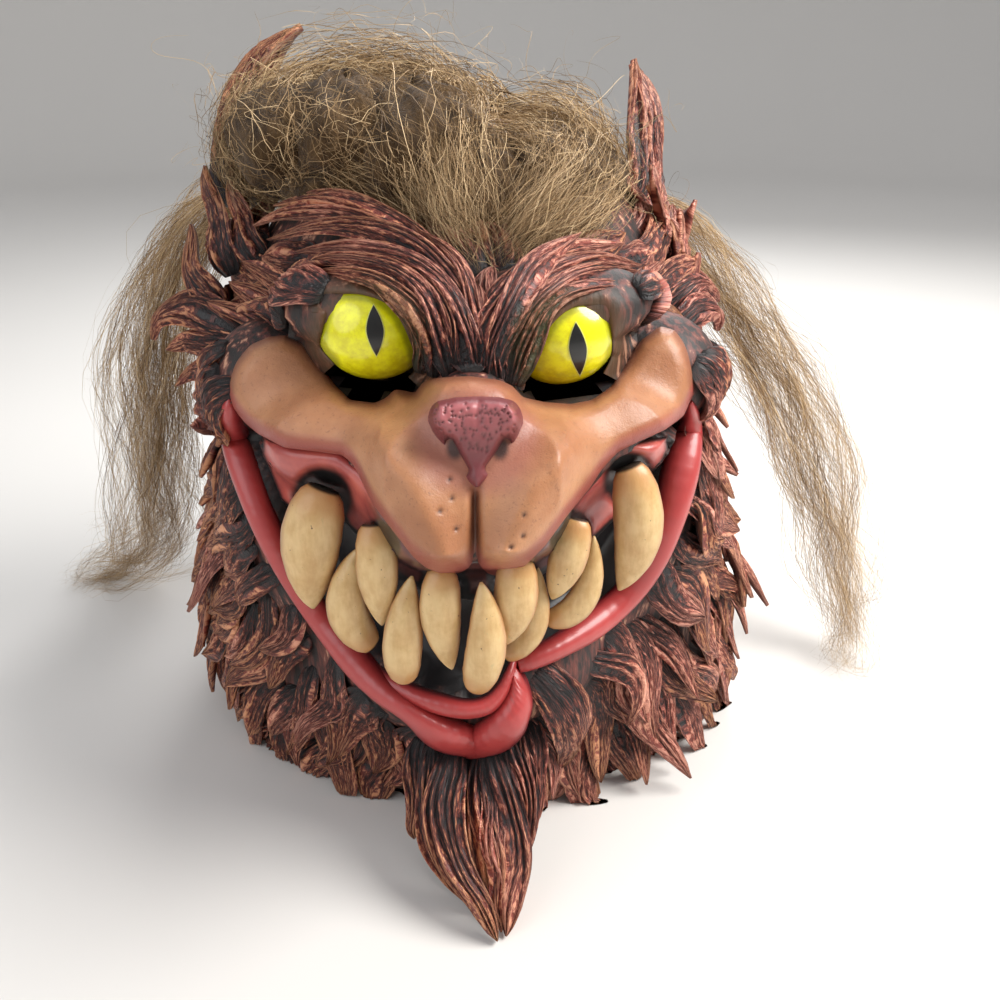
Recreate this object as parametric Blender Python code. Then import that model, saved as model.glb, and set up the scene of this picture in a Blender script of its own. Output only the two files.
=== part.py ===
"""Werewolf mask: a full-head latex mask with a wide toothed grin, standing on its neck rim.

The head is one implicit form, a smooth union of ellipsoids, sampled by rays from an upright axis.
Fur locks, lip, nose and ears are fused to it and the cavity for the wearer's head is cut out.
The face looks along -Y, +X is on the right as the face is looked at, and the rim stands on z = 0.
"""
import math

import bmesh
import bpy
import numpy as np

# The head form's own sizes, in metres
HEAD_HALF_WIDTH = 0.136
HEAD_HALF_DEPTH = 0.175
HEAD_HEIGHT = 0.305
WALL = 0.0026
GAP = 0.0003
CAVITY_OVERSHOOT = 0.02

# Sizes of what is set on the head
LIP_RADIUS = 0.0078
LIP_FLATNESS = 0.80
NOSE_WIDTH = 0.165
NOSE_DEPTH = 0.075
TOOTH_DEPTH = 0.62
TOOTH_CURVE = 0.03
EYE_RADIUS = 0.0235
EYE_DEPTH = 0.80
EYE_FLATNESS = 0.86
EYE_X = 0.293
EYE_Y = -0.655
EYE_LEFT_Z = 0.766
EYE_RIGHT_Z = 0.750
SLIT_HEIGHT = 0.0090
SLIT_WIDTH = 0.042
SLIT_REACH = 0.090
SLIT_X = 0.285
SLIT_Y = -0.66
SLIT_Z = 0.690
LOCK_WIDTH = 0.036
LOCK_THICKNESS = 0.011
LOCK_LIFT = 0.014
EAR_DEPTH = 0.80
OWN_LOCK_DEPTH = 1.40
TIP_GROWTH = 100.0
HAIR_THICKNESS = 0.027
MANE_THICKNESS = 0.016
FALL_RADIUS = 0.019
FALL_FLATNESS = 0.55
FALL_LOBES = 3
FALL_LOBE_DEPTH = 0.14
ROOT_DEPTH = 0.002

# Resolution of the lofts
HEAD_COLUMNS = 34
HEAD_RINGS = 20
CAVITY_COLUMNS = 24
CAVITY_RINGS = 14
RING_SIDES = 8
LOCK_SIDES = 4
FALL_SIDES = 10
EYE_COLUMNS = 16
EYE_RINGS = 9
SLIT_SIDES = 12
CAP_COLUMNS = 28
MANE_COLUMNS = 11
MANE_ROWS = 8

FAR = 0.5
MARCH_STEPS = 90
MARCH_RATE = 0.75
TURN_SHARE = 0.60
TURN_HEIGHT = 0.60
FRONT_CROWDING = 0.35
COLLECTION = "werewolf_mask"

# The ellipsoids: centre and radii as shares of half width, half depth and height,
# and how softly each joins the ones before it, as a share of half width.
# Forms off the middle plane are mirrored.
FORMS = (
    # name, x, y, z, radius x, radius y, radius z, blend
    ("neck", 0.00, 0.01, 0.19, 1.00, 0.66, 0.54, 0.00),
    ("skull", 0.00, 0.08, 0.66, 0.80, 0.62, 0.34, 0.30),
    ("face", 0.00, -0.36, 0.52, 0.68, 0.44, 0.27, 0.22),
    ("chin", 0.00, -0.56, 0.27, 0.44, 0.27, 0.13, 0.16),
    ("jowl", 0.50, -0.36, 0.49, 0.27, 0.22, 0.20, 0.20),
    ("brow", 0.28, -0.60, 0.80, 0.26, 0.13, 0.055, 0.10),
    ("cheek", 0.57, -0.48, 0.685, 0.22, 0.16, 0.085, 0.06),
    ("cheek_bridge", 0.36, -0.64, 0.63, 0.26, 0.17, 0.070, 0.10),
    ("muzzle", 0.125, -0.85, 0.60, 0.15, 0.15, 0.092, 0.08),
    ("nose_bridge", 0.00, -0.78, 0.70, 0.13, 0.17, 0.060, 0.08),
)

# The lower lip's roll, from the left corner round the pout to the hooked end, and the right roll
LIP_LEFT = (
    # x, y, z, share of the lip's radius
    (-0.750, -0.400, 0.650, 0.60),
    (-0.751, -0.429, 0.565, 0.95),
    (-0.701, -0.486, 0.492, 0.95),
    (-0.622, -0.560, 0.422, 1.00),
    (-0.533, -0.640, 0.360, 1.05),
    (-0.413, -0.730, 0.308, 1.15),
    (-0.268, -0.810, 0.270, 1.30),
    (-0.144, -0.870, 0.245, 1.55),
    (-0.007, -0.900, 0.235, 1.60),
    (0.095, -0.890, 0.255, 1.25),
    (0.135, -0.850, 0.300, 0.85),
)
LIP_RIGHT = (
    (0.120, -0.820, 0.325, 0.60),
    (0.263, -0.800, 0.351, 1.00),
    (0.402, -0.720, 0.363, 1.05),
    (0.548, -0.629, 0.402, 1.05),
    (0.653, -0.549, 0.459, 1.00),
    (0.732, -0.469, 0.526, 0.95),
    (0.744, -0.400, 0.620, 0.60),
)

# The nose leather, from its root over the nostrils to its narrow foot
NOSE = (
    # x, y, z, shares of the nose's width and depth
    (-0.010, -0.800, 0.752, 0.60, 0.10),
    (-0.010, -0.935, 0.735, 0.85, 0.50),
    (-0.010, -1.015, 0.705, 1.00, 0.90),
    (-0.005, -1.020, 0.665, 0.62, 0.80),
    (0.000, -0.985, 0.630, 0.30, 0.60),
)

# The teeth, front ones last in each row so that each is trimmed by those in front of it
TEETH = (
    # name, root x, root z, tip x, tip z, depth y, width, bow
    ("tooth_lower_3", 0.003, 0.275, 0.021, 0.478, -0.915, 0.150, 0.03),
    ("tooth_upper_3", -0.089, 0.505, -0.078, 0.350, -0.885, 0.150, -0.02),
    ("tooth_upper_4", 0.112, 0.530, 0.080, 0.385, -0.880, 0.150, 0.05),
    ("tooth_lower_2", -0.216, 0.280, -0.185, 0.474, -0.870, 0.145, -0.02),
    ("tooth_upper_2", -0.252, 0.555, -0.285, 0.396, -0.840, 0.145, 0.04),
    ("tooth_upper_5", 0.285, 0.565, 0.233, 0.436, -0.850, 0.130, 0.04),
    ("tooth_lower_1", -0.315, 0.300, -0.365, 0.490, -0.785, 0.140, -0.05),
    ("tooth_lower_4", 0.100, 0.330, 0.190, 0.474, -0.815, 0.120, 0.05),
    ("tooth_lower_5", 0.240, 0.372, 0.362, 0.505, -0.800, 0.120, 0.08),
    ("tooth_upper_1", -0.415, 0.600, -0.515, 0.402, -0.750, 0.215, -0.03),
    ("tooth_upper_6", 0.458, 0.620, 0.461, 0.420, -0.760, 0.200, 0.05),
)

# Rows of fur locks: height on the head (0 rim, 1 crown), the azimuth where they start beside
# the face, how far they reach down and outward, and their spacing, all angles in degrees
FUR_ROWS = (
    # height, start on the left, start on the right, drop, swing, spacing, size
    (0.065, 22.0, 66.0, 0.085, 1.0, 21.0, 0.95),
    (0.150, 14.0, 14.0, 0.125, 2.0, 21.0, 1.05),
    (0.265, 28.0, 28.0, 0.130, 5.0, 21.0, 1.10),
    (0.375, 48.0, 48.0, 0.130, 8.0, 21.0, 1.10),
    (0.480, 58.0, 58.0, 0.125, 10.0, 21.0, 1.10),
    (0.580, 62.0, 62.0, 0.115, 11.0, 22.0, 1.05),
    (0.675, 60.0, 60.0, 0.095, 13.0, 23.0, 1.00),
    (0.755, 56.0, 56.0, 0.080, 14.0, 25.0, 0.90),
)
FUR_END = 112.0
ROOT_HEIGHT = 0.045
LOWEST_FUR = 0.02
LOCK_WAVE = 0.12
FUR_SIDES = (
    # side, share of the lift: the fur on the right was sculpted longer and looser
    (-1, 1.15),
    (1, 1.70),
)

# Locks with a place of their own: points as shares of half width, half depth and height
OWN_LOCKS = (
    # name, width share, points
    ("ear_left", 0.95, ((-0.66, 0.06, 0.86), (-0.75, 0.10, 0.97), (-0.72, 0.14, 1.06), (-0.56, 0.17, 1.125))),
    ("ear_right", 0.95, ((0.62, 0.06, 0.84), (0.68, 0.10, 0.94), (0.66, 0.14, 1.02), (0.61, 0.17, 1.085))),
    ("tuft_left_high", 0.60, ((-0.68, -0.12, 0.84), (-0.80, -0.08, 0.90), (-0.86, -0.04, 0.95), (-0.87, 0.00, 1.00))),
    ("tuft_left_middle", 0.60, ((-0.70, -0.16, 0.77), (-0.84, -0.13, 0.81), (-0.93, -0.11, 0.84), (-0.99, -0.09, 0.87))),
    ("tuft_left_low", 0.70, ((-0.70, -0.20, 0.71), (-0.88, -0.19, 0.73), (-1.01, -0.15, 0.72), (-1.09, -0.10, 0.69))),
    ("tuft_right_high", 0.60, ((0.66, -0.10, 0.82), (0.74, -0.06, 0.88), (0.78, -0.02, 0.93), (0.78, 0.02, 0.98))),
    ("tuft_right_middle", 0.60, ((0.66, -0.16, 0.77), (0.76, -0.14, 0.80), (0.84, -0.11, 0.83), (0.88, -0.09, 0.87))),
    ("tuft_right_low", 0.65, ((0.66, -0.20, 0.71), (0.78, -0.19, 0.73), (0.87, -0.15, 0.72), (0.93, -0.10, 0.69))),
    ("brow_left_low", 0.85, ((-0.02, -0.79, 0.755), (-0.14, -0.79, 0.800), (-0.30, -0.73, 0.835), (-0.50, -0.55, 0.815))),
    ("brow_left_high", 0.80, ((-0.08, -0.72, 0.790), (-0.24, -0.66, 0.840), (-0.42, -0.54, 0.860), (-0.66, -0.34, 0.850))),
    ("brow_right_low", 0.85, ((0.06, -0.79, 0.755), (0.15, -0.79, 0.800), (0.29, -0.73, 0.835), (0.48, -0.55, 0.825))),
    ("brow_right_high", 0.80, ((0.10, -0.72, 0.790), (0.22, -0.66, 0.840), (0.38, -0.54, 0.865), (0.60, -0.34, 0.860))),
    ("beard_middle", 1.30, ((-0.01, -0.70, 0.215), (0.02, -0.88, 0.150), (0.03, -1.02, 0.080), (0.05, -1.125, 0.016))),
    ("beard_left", 0.95, ((-0.14, -0.70, 0.205), (-0.13, -0.86, 0.140), (-0.10, -0.95, 0.080), (-0.06, -1.00, 0.030))),
    ("beard_right", 0.95, ((0.15, -0.70, 0.215), (0.14, -0.84, 0.150), (0.12, -0.93, 0.090), (0.10, -0.98, 0.040))),
    ("beard_far_left", 0.95, ((-0.28, -0.66, 0.215), (-0.28, -0.78, 0.150), (-0.27, -0.84, 0.095), (-0.26, -0.87, 0.045))),
    ("beard_far_right", 0.95, ((0.28, -0.64, 0.240), (0.27, -0.76, 0.170), (0.25, -0.82, 0.110), (0.23, -0.85, 0.055))),
)

# The frizzy hair: falls behind each side of the head, as points and a share of the fall's radius
HAIR_FALLS = (
    ("hair_fall_left", (
        (-0.52, 0.40, 0.87, 0.60), (-0.90, 0.42, 0.86, 1.10), (-1.16, 0.40, 0.72, 1.50),
        (-1.30, 0.38, 0.54, 1.60), (-1.34, 0.40, 0.37, 1.35), (-1.42, 0.50, 0.20, 1.00),
        (-1.58, 0.64, 0.080, 0.75), (-1.86, 0.74, 0.030, 0.45))),
    ("hair_fall_right", (
        (0.52, 0.40, 0.86, 0.55), (0.86, 0.42, 0.81, 1.00), (1.10, 0.34, 0.68, 1.35),
        (1.32, 0.26, 0.54, 1.45), (1.47, 0.18, 0.38, 1.30), (1.58, 0.08, 0.20, 0.95),
        (1.66, 0.00, 0.070, 0.70), (1.60, -0.10, 0.028, 0.42))),
)
FOREHEAD_EDGE = 0.775
CROWN_EDGE = 0.800
MANE_HALF_ANGLE = 50.0
MANE_TOP = 0.785
MANE_FOOT = 0.12
MANE_RIPPLE = 0.18
LOBES = 7
CAP_SIDE_SWELL = 0.35
CAP_RIPPLE = 0.16
CAP_LEVELS = (
    # share of the way from the hair's edge to the crown, share of the thickness
    (0.00, 0.35),
    (0.18, 0.85),
    (0.42, 1.00),
    (0.70, 1.05),
)
CAP_TOP = 1.08


def clear_scene():
    for thing in list(bpy.data.objects):
        bpy.data.objects.remove(thing, do_unlink=True)


def new_collection(name):
    group = bpy.data.collections.new(name)
    bpy.context.scene.collection.children.link(group)
    return group


def new_material(name, colour, roughness):
    material = bpy.data.materials.new(name)
    material.use_nodes = True
    shader = material.node_tree.nodes["Principled BSDF"]
    shader.inputs["Base Color"].default_value = (*colour, 1.0)
    shader.inputs["Roughness"].default_value = roughness
    shader.inputs["Metallic"].default_value = 0.0
    return material


def head_point(x, y, z):
    """A place from shares of half width, half depth and height."""
    return np.array([x * HEAD_HALF_WIDTH, y * HEAD_HALF_DEPTH, z * HEAD_HEIGHT])


def ellipsoid_distance(points, centre, radii):
    scaled = (points - centre) / radii
    first = np.linalg.norm(scaled, axis=-1)
    second = np.linalg.norm(scaled / radii, axis=-1)
    return first * (first - 1.0) / np.maximum(second, 1e-9)


def smooth_union(a, b, blend):
    if blend == 0.0:
        return np.minimum(a, b)
    near = np.maximum(blend - np.abs(a - b), 0.0) / blend
    return np.minimum(a, b) - near * near * blend * 0.25


def head_distance(points):
    """Signed distance from the head's bare form, without fur."""
    total = None
    for _, x, y, z, rx, ry, rz, blend in FORMS:
        for side in ((1,) if x == 0.0 else (1, -1)):
            one = ellipsoid_distance(points, head_point(side * x, y, z), head_point(rx, ry, rz))
            total = one if total is None else smooth_union(total, one, blend * HEAD_HALF_WIDTH)
    return total


def on_head(azimuth, height, offset):
    """Points above the bare form by offset: azimuth in radians from the face, height 0 rim to 1 crown."""
    azimuth, height = np.broadcast_arrays(np.asarray(azimuth, float), np.asarray(height, float))
    climb = np.minimum(height / TURN_SHARE, 1.0) * TURN_HEIGHT * HEAD_HEIGHT
    tilt = np.maximum(height - TURN_SHARE, 0.0) / (1.0 - TURN_SHARE) * math.pi / 2
    outward = np.stack([np.sin(azimuth) * np.cos(tilt), -np.cos(azimuth) * np.cos(tilt), np.sin(tilt)], -1)
    start = np.stack([np.zeros_like(climb), np.zeros_like(climb), climb], -1)
    reach = np.full(azimuth.shape, FAR)
    for _ in range(MARCH_STEPS):
        reach = reach - MARCH_RATE * (head_distance(start + outward * reach[..., None]) - offset)
    return start + outward * reach[..., None]


def outward_normal(point):
    step = 1e-4
    slope = [head_distance(point + step * axis) - head_distance(point - step * axis) for axis in np.eye(3)]
    return np.array(slope) / np.linalg.norm(slope)


def loft(name, rings, group, first_tip=None, last_tip=None):
    """A closed solid through rings of equally many points; its ends are a point or a flat face."""
    mesh = bmesh.new()
    rows = [[mesh.verts.new(point) for point in ring] for ring in rings]
    count = len(rows[0])
    for low, high in zip(rows, rows[1:]):
        for i in range(count):
            j = (i + 1) % count
            mesh.faces.new((low[i], low[j], high[j], high[i]))
    for row, tip, flip in ((rows[0], first_tip, True), (rows[-1], last_tip, False)):
        if tip is None:
            mesh.faces.new(list(reversed(row)) if flip else row)
            continue
        apex = mesh.verts.new(tip)
        for i in range(count):
            pair = (row[(i + 1) % count], row[i]) if flip else (row[i], row[(i + 1) % count])
            mesh.faces.new((*pair, apex))
    bmesh.ops.triangulate(mesh, faces=mesh.faces)
    bmesh.ops.recalc_face_normals(mesh, faces=mesh.faces)
    data = bpy.data.meshes.new(name)
    mesh.to_mesh(data)
    mesh.free()
    solid = bpy.data.objects.new(name, data)
    group.objects.link(solid)
    return solid


def smooth_route(points, steps):
    """A soft curve through the points, with the given number of steps in each stretch."""
    points = np.array(points, float)
    padded = np.vstack([2 * points[0] - points[1], points, 2 * points[-1] - points[-2]])
    route = []
    for a, b, c, d in zip(padded, padded[1:], padded[2:], padded[3:]):
        for t in np.arange(steps) / steps:
            route.append(0.5 * (2 * b + (c - a) * t + (2 * a - 5 * b + 4 * c - d) * t**2
                                + (3 * b - a - 3 * c + d) * t**3))
    route.append(points[-1])
    return np.array(route)


def sections(route, widths, depths, facing, sides, grow=0.0, lobes=0, lobe_depth=0.0):
    """Elliptic rings square to a route, wide across it and across the facing direction."""
    tangents = np.gradient(route, axis=0)
    rings = []
    for point, tangent, width, depth, face in zip(route, tangents, widths, depths, facing):
        tangent = tangent / np.linalg.norm(tangent)
        side = np.cross(tangent, face)
        side /= np.linalg.norm(side)
        up = np.cross(side, tangent)
        angles = np.arange(sides) * 2 * math.pi / sides + math.pi / 2
        swell = 1.0 + lobe_depth * np.cos(lobes * angles)
        rings.append([point + side * math.cos(a) * (width * s + grow) + up * math.sin(a) * (depth * s + grow)
                      for a, s in zip(angles, swell)])
    return rings


def head_shell(name, offset, group, foot=0.0, columns=HEAD_COLUMNS, rings_up=HEAD_RINGS):
    """The bare form's surface moved out by offset, closed by a flat foot."""
    turns = np.arange(columns) * 2 * math.pi / columns
    azimuths = turns - FRONT_CROWDING * np.sin(turns)
    heights = np.linspace(0.0, 1.0, rings_up)[:-1]
    rings = [on_head(azimuths, height, offset) for height in heights]
    if foot:
        rings[0] = rings[0].copy()
        rings[0][:, 2] -= foot
    return loft(name, rings, group, last_tip=on_head(0.0, 1.0, offset))


def fur_lock(name, azimuths, heights, size, lift, group, grow=0.0):
    """A tapered lock that lies along the head, its tip standing off."""
    lifts = np.array([-0.30, 0.35, 0.75, 1.0]) * lift
    shape = np.array([0.75, 1.0, 0.70]) * size
    points = np.array([on_head(a, h, lift) for a, h, lift in zip(azimuths, heights, lifts)])
    points[:, 2] = np.maximum(points[:, 2], LOCK_THICKNESS / 3)
    facing = [outward_normal(point) for point in points]
    rings = sections(points, shape * LOCK_WIDTH / 2, shape * LOCK_THICKNESS / 2, facing, LOCK_SIDES, grow)
    return loft(name, rings[:3], group, last_tip=points[-1] + grow * (points[-1] - points[-2]) * TIP_GROWTH)


def fur_locks(group, grow=0.0):
    """All rows of locks round the sides, each row shifted half a lock against the one below."""
    for row, (height, start_left, start_right, drop, swing, spacing, size) in enumerate(FUR_ROWS):
        for side, loose in FUR_SIDES:
            start = start_right if side > 0 else start_left
            for i in range(int((FUR_END - start) / spacing) + 1):
                wave = math.sin(2.4 * i + 1.7 * row + side)
                azimuth = side * math.radians(start + spacing * (i + 0.25 * (row % 2)) + 2.0 * wave)
                turn = side * math.radians(swing) * (1.0 + 0.25 * wave)
                heights = height + ROOT_HEIGHT - drop * np.array([0.0, 0.35, 0.70, 1.0]) * (1.0 + LOCK_WAVE * wave)
                azimuths = azimuth + turn * np.array([0.0, 0.3, 0.65, 1.0])
                name = f"fur_{row}_{'r' if side > 0 else 'l'}{i}"
                fur_lock(name, azimuths, np.maximum(heights, LOWEST_FUR), size, LOCK_LIFT * loose, group, grow)


def own_locks(group, grow=0.0):
    for name, width, points in OWN_LOCKS:
        places = np.array([head_point(*point) for point in points])
        root = places[0] - 0.25 * (places[1] - places[0])
        route = np.vstack([root, places])
        facing = [outward_normal(places[0])] * len(route)
        shape = np.array([0.75, 1.0, 0.90, 0.60]) * width
        ear = name.startswith("ear")
        depth = (LOCK_WIDTH * EAR_DEPTH if ear else LOCK_THICKNESS * OWN_LOCK_DEPTH) / 2
        rings = sections(route, shape * LOCK_WIDTH / 2, shape * depth, facing, LOCK_SIDES, grow)
        tip = route[-1] + grow * (route[-1] - route[-2]) * TIP_GROWTH
        loft(name, rings[:4], group, last_tip=tip)


def lips(group, grow=0.0):
    for name, row in (("lip_left", LIP_LEFT), ("lip_right", LIP_RIGHT)):
        route = smooth_route([(*head_point(x, y, z), share * LIP_RADIUS) for x, y, z, share in row], 2)
        places, radii = route[:, :3], route[:, 3]
        facing = [outward_normal(place) for place in places]
        loft(name, sections(places, radii, radii * LIP_FLATNESS, facing, RING_SIDES, grow), group)


def nose(group, grow=0.0):
    """The nose leather: wide over the nostrils, narrow at its foot."""
    width = NOSE_WIDTH * HEAD_HALF_WIDTH
    depth = NOSE_DEPTH * HEAD_HALF_DEPTH
    places = np.array([head_point(x, y, z) for x, y, z, _, _ in NOSE])
    rings = sections(places, [row[3] * width for row in NOSE], [row[4] * depth for row in NOSE],
                     [np.array([0.0, -1.0, 0.4])] * len(NOSE), RING_SIDES, grow)
    loft("nose", rings, group)


def eye_place(side):
    """Centre of an eyeball: the two eyes are set a little differently, as they were painted."""
    return head_point(side * EYE_X, EYE_Y, EYE_LEFT_Z if side < 0 else EYE_RIGHT_Z)


def eyeball(name, side, group, grow=0.0):
    bpy.ops.mesh.primitive_uv_sphere_add(segments=EYE_COLUMNS, ring_count=EYE_RINGS, radius=1.0)
    ball = bpy.context.object
    ball.name = name
    for old in list(ball.users_collection):
        old.objects.unlink(ball)
    group.objects.link(ball)
    radii = EYE_RADIUS * np.array([1.0, EYE_DEPTH, EYE_FLATNESS]) + grow
    place = eye_place(side)
    for vertex in ball.data.vertices:
        vertex.co = place + np.array(vertex.co) * radii
    return ball


def tooth(row, group, grow=0.0):
    """A curved cone, blunt at its tip, its root sunk towards the jaw."""
    name, root_x, root_z, tip_x, tip_z, depth, width, bow = row
    root, tip = head_point(root_x, depth, root_z), head_point(tip_x, depth, tip_z)
    middle = (root + tip) / 2 + head_point(bow, -TOOTH_CURVE, 0.0)
    shares = np.array([0.0, 0.22, 0.48, 0.74, 0.93])[:, None]
    route = (1 - shares) ** 2 * root + 2 * shares * (1 - shares) * (2 * middle - (root + tip) / 2) + shares**2 * tip
    widths = np.array([0.80, 1.0, 0.97, 0.72, 0.34]) * width * HEAD_HALF_WIDTH / 2
    facing = [np.array([0.0, -1.0, 0.0])] * len(route)
    rings = sections(route, widths, widths * TOOTH_DEPTH, facing, RING_SIDES, grow)
    end = tip + grow * (tip - root) / np.linalg.norm(tip - root)
    return loft(name, rings, group, last_tip=end)


def cut(solid, operation, thing):
    """A Boolean with one object or a whole collection, applied at once."""
    step = solid.modifiers.new("cut", "BOOLEAN")
    step.operation = operation
    step.solver = "EXACT"
    if isinstance(thing, bpy.types.Collection):
        step.operand_type = "COLLECTION"
        step.collection = thing
    else:
        step.object = thing
    bpy.context.view_layer.update()
    result = bpy.data.meshes.new_from_object(solid.evaluated_get(bpy.context.evaluated_depsgraph_get()))
    solid.modifiers.clear()
    solid.data = result


def tidy_mesh(solid, merge=2e-5):
    """Welds slivers away and keeps the largest connected piece."""
    mesh = bmesh.new()
    mesh.from_mesh(solid.data)
    bmesh.ops.remove_doubles(mesh, verts=mesh.verts, dist=merge)
    bmesh.ops.dissolve_degenerate(mesh, edges=mesh.edges, dist=merge)
    bmesh.ops.triangulate(mesh, faces=mesh.faces)
    left = set(mesh.verts)
    pieces = []
    while left:
        stack = [left.pop()]
        piece = set(stack)
        while stack:
            for edge in stack.pop().link_edges:
                for vertex in edge.verts:
                    if vertex in left:
                        left.remove(vertex)
                        piece.add(vertex)
                        stack.append(vertex)
        pieces.append(piece)
    pieces.sort(key=len, reverse=True)
    for piece in pieces[1:]:
        bmesh.ops.delete(mesh, geom=list(piece), context="VERTS")
    mesh.to_mesh(solid.data)
    mesh.free()


def cap_edge(azimuth):
    """Where the hair on top ends: lowest over the forehead, higher beside the ears."""
    front = 0.5 + 0.5 * np.cos(azimuth)
    side = np.abs(np.sin(azimuth))
    return CROWN_EDGE - (CROWN_EDGE - FOREHEAD_EDGE) * front**3 + 0.02 * side**6


def hair_cap(name, group, grow=0.0):
    """The mass of hair on the crown: a quilted cap over the bare form."""
    azimuths = np.arange(CAP_COLUMNS) * 2 * math.pi / CAP_COLUMNS
    edge = cap_edge(azimuths)
    swell = 1.0 + CAP_RIPPLE * np.cos(LOBES * azimuths) + CAP_SIDE_SWELL * np.abs(np.sin(azimuths))
    rings = []
    outside = []
    for share, rise in CAP_LEVELS:
        heights = edge + (1.0 - edge) * share
        rings.append(on_head(azimuths, heights, -ROOT_DEPTH))
        outside.append(np.array([on_head(a, h, HAIR_THICKNESS * rise * s + grow)
                                 for a, h, s in zip(azimuths, heights, swell)]))
    top = on_head(0.0, 1.0, HAIR_THICKNESS * CAP_TOP + grow)
    floor = on_head(0.0, 1.0, -ROOT_DEPTH)
    return loft(name, list(reversed(rings)) + outside, group, first_tip=floor, last_tip=top)


def hair_mane(name, group, grow=0.0):
    """Hair that hangs down the back of the head, lobed into locks, thin at its edges."""
    half = math.radians(MANE_HALF_ANGLE) + grow / HEAD_HALF_WIDTH
    rings = []
    for row in range(MANE_ROWS):
        share = row / (MANE_ROWS - 1)
        height = MANE_TOP + (MANE_FOOT - MANE_TOP) * share + grow / HEAD_HEIGHT * (1.0 - 2.0 * share)
        angles = math.pi + np.linspace(-half, half, MANE_COLUMNS)
        across = np.linspace(-1.0, 1.0, MANE_COLUMNS)
        body = (1.0 - 0.75 * across**4) * (0.55 + 0.45 * math.sin(math.pi * min(share + 0.12, 1.0)))
        ripple = 1.0 + MANE_RIPPLE * np.cos(LOBES * math.pi * across + 0.8 * share)
        outer = np.array([on_head(a, height, MANE_THICKNESS * b * r + GAP + grow)
                          for a, b, r in zip(angles, body, ripple)])
        inner = on_head(angles, height, -ROOT_DEPTH)
        rings.append(np.vstack([outer, inner[::-1]]))
    return loft(name, rings, group)


def hair_fall(name, points, group):
    route = smooth_route([(*head_point(x, y, z), share * FALL_RADIUS) for x, y, z, share in points], 2)
    places, radii = route[:, :3], route[:, 3]
    facing = [np.array([0.0, -1.0, 0.0])] * len(places)
    rings = sections(places, radii, radii * FALL_FLATNESS, facing, FALL_SIDES, 0.0, FALL_LOBES, FALL_LOBE_DEPTH)
    return loft(name, rings, group)


def place_cutters(name, makers):
    """A hidden collection filled by the makers."""
    group = new_collection(name)
    for maker in makers:
        maker(group)
    for thing in group.objects:
        thing.hide_render = True
        thing.display_type = "WIRE"
    return group


def eye_slits(group):
    """The wearer looks out through a slot under each eyeball."""
    for side in (1, -1):
        centre = head_point(side * SLIT_X, SLIT_Y, SLIT_Z)
        bpy.ops.mesh.primitive_cylinder_add(vertices=SLIT_SIDES, radius=0.5, depth=1.0)
        slot = bpy.context.object
        slot.name = f"slit_cutter_{'right' if side > 0 else 'left'}"
        for old in list(slot.users_collection):
            old.objects.unlink(slot)
        group.objects.link(slot)
        for vertex in slot.data.vertices:
            x, y, z = vertex.co
            vertex.co = centre + np.array([x * SLIT_WIDTH, -z * SLIT_REACH, y * SLIT_HEIGHT])


def finish(solid, group, material):
    tidy_mesh(solid)
    solid.data.materials.clear()
    solid.data.materials.append(material)
    for polygon in solid.data.polygons:
        polygon.use_smooth = True
    for old in list(solid.users_collection):
        old.objects.unlink(solid)
    group.objects.link(solid)


def centre_on_floor(group):
    """Moves the whole model so that the middle of its box is over the origin."""
    corners = np.array([tuple(v.co) for thing in group.objects for v in thing.data.vertices])
    middle = (corners.min(axis=0) + corners.max(axis=0)) / 2
    for thing in group.objects:
        for vertex in thing.data.vertices:
            vertex.co.x -= middle[0]
            vertex.co.y -= middle[1]


def build_head(slits):
    stock = new_collection("head_stock")
    head = head_shell("latex_head", 0.0, stock)
    extras = place_cutters("head_extras", (fur_locks, own_locks, lips, nose))
    cut(head, "UNION", extras)
    hollow = place_cutters("head_hollow", (lambda group: head_shell(
        "cavity_cutter", -WALL, group, CAVITY_OVERSHOOT, CAVITY_COLUMNS, CAVITY_RINGS),))
    cut(head, "DIFFERENCE", hollow)
    cut(head, "DIFFERENCE", slits)
    return head


def build_fat_head():
    """The head's outer form grown by the gap, which everything set on the head is cut by."""
    group = new_collection("fat_head")
    fat = head_shell("fat_head", GAP, group)
    extras = place_cutters("fat_extras", (
        lambda made: fur_locks(made, GAP), lambda made: own_locks(made, GAP),
        lambda made: lips(made, GAP), lambda made: nose(made, GAP)))
    cut(fat, "UNION", extras)
    fat.hide_render = True
    fat.display_type = "WIRE"
    return fat


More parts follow.
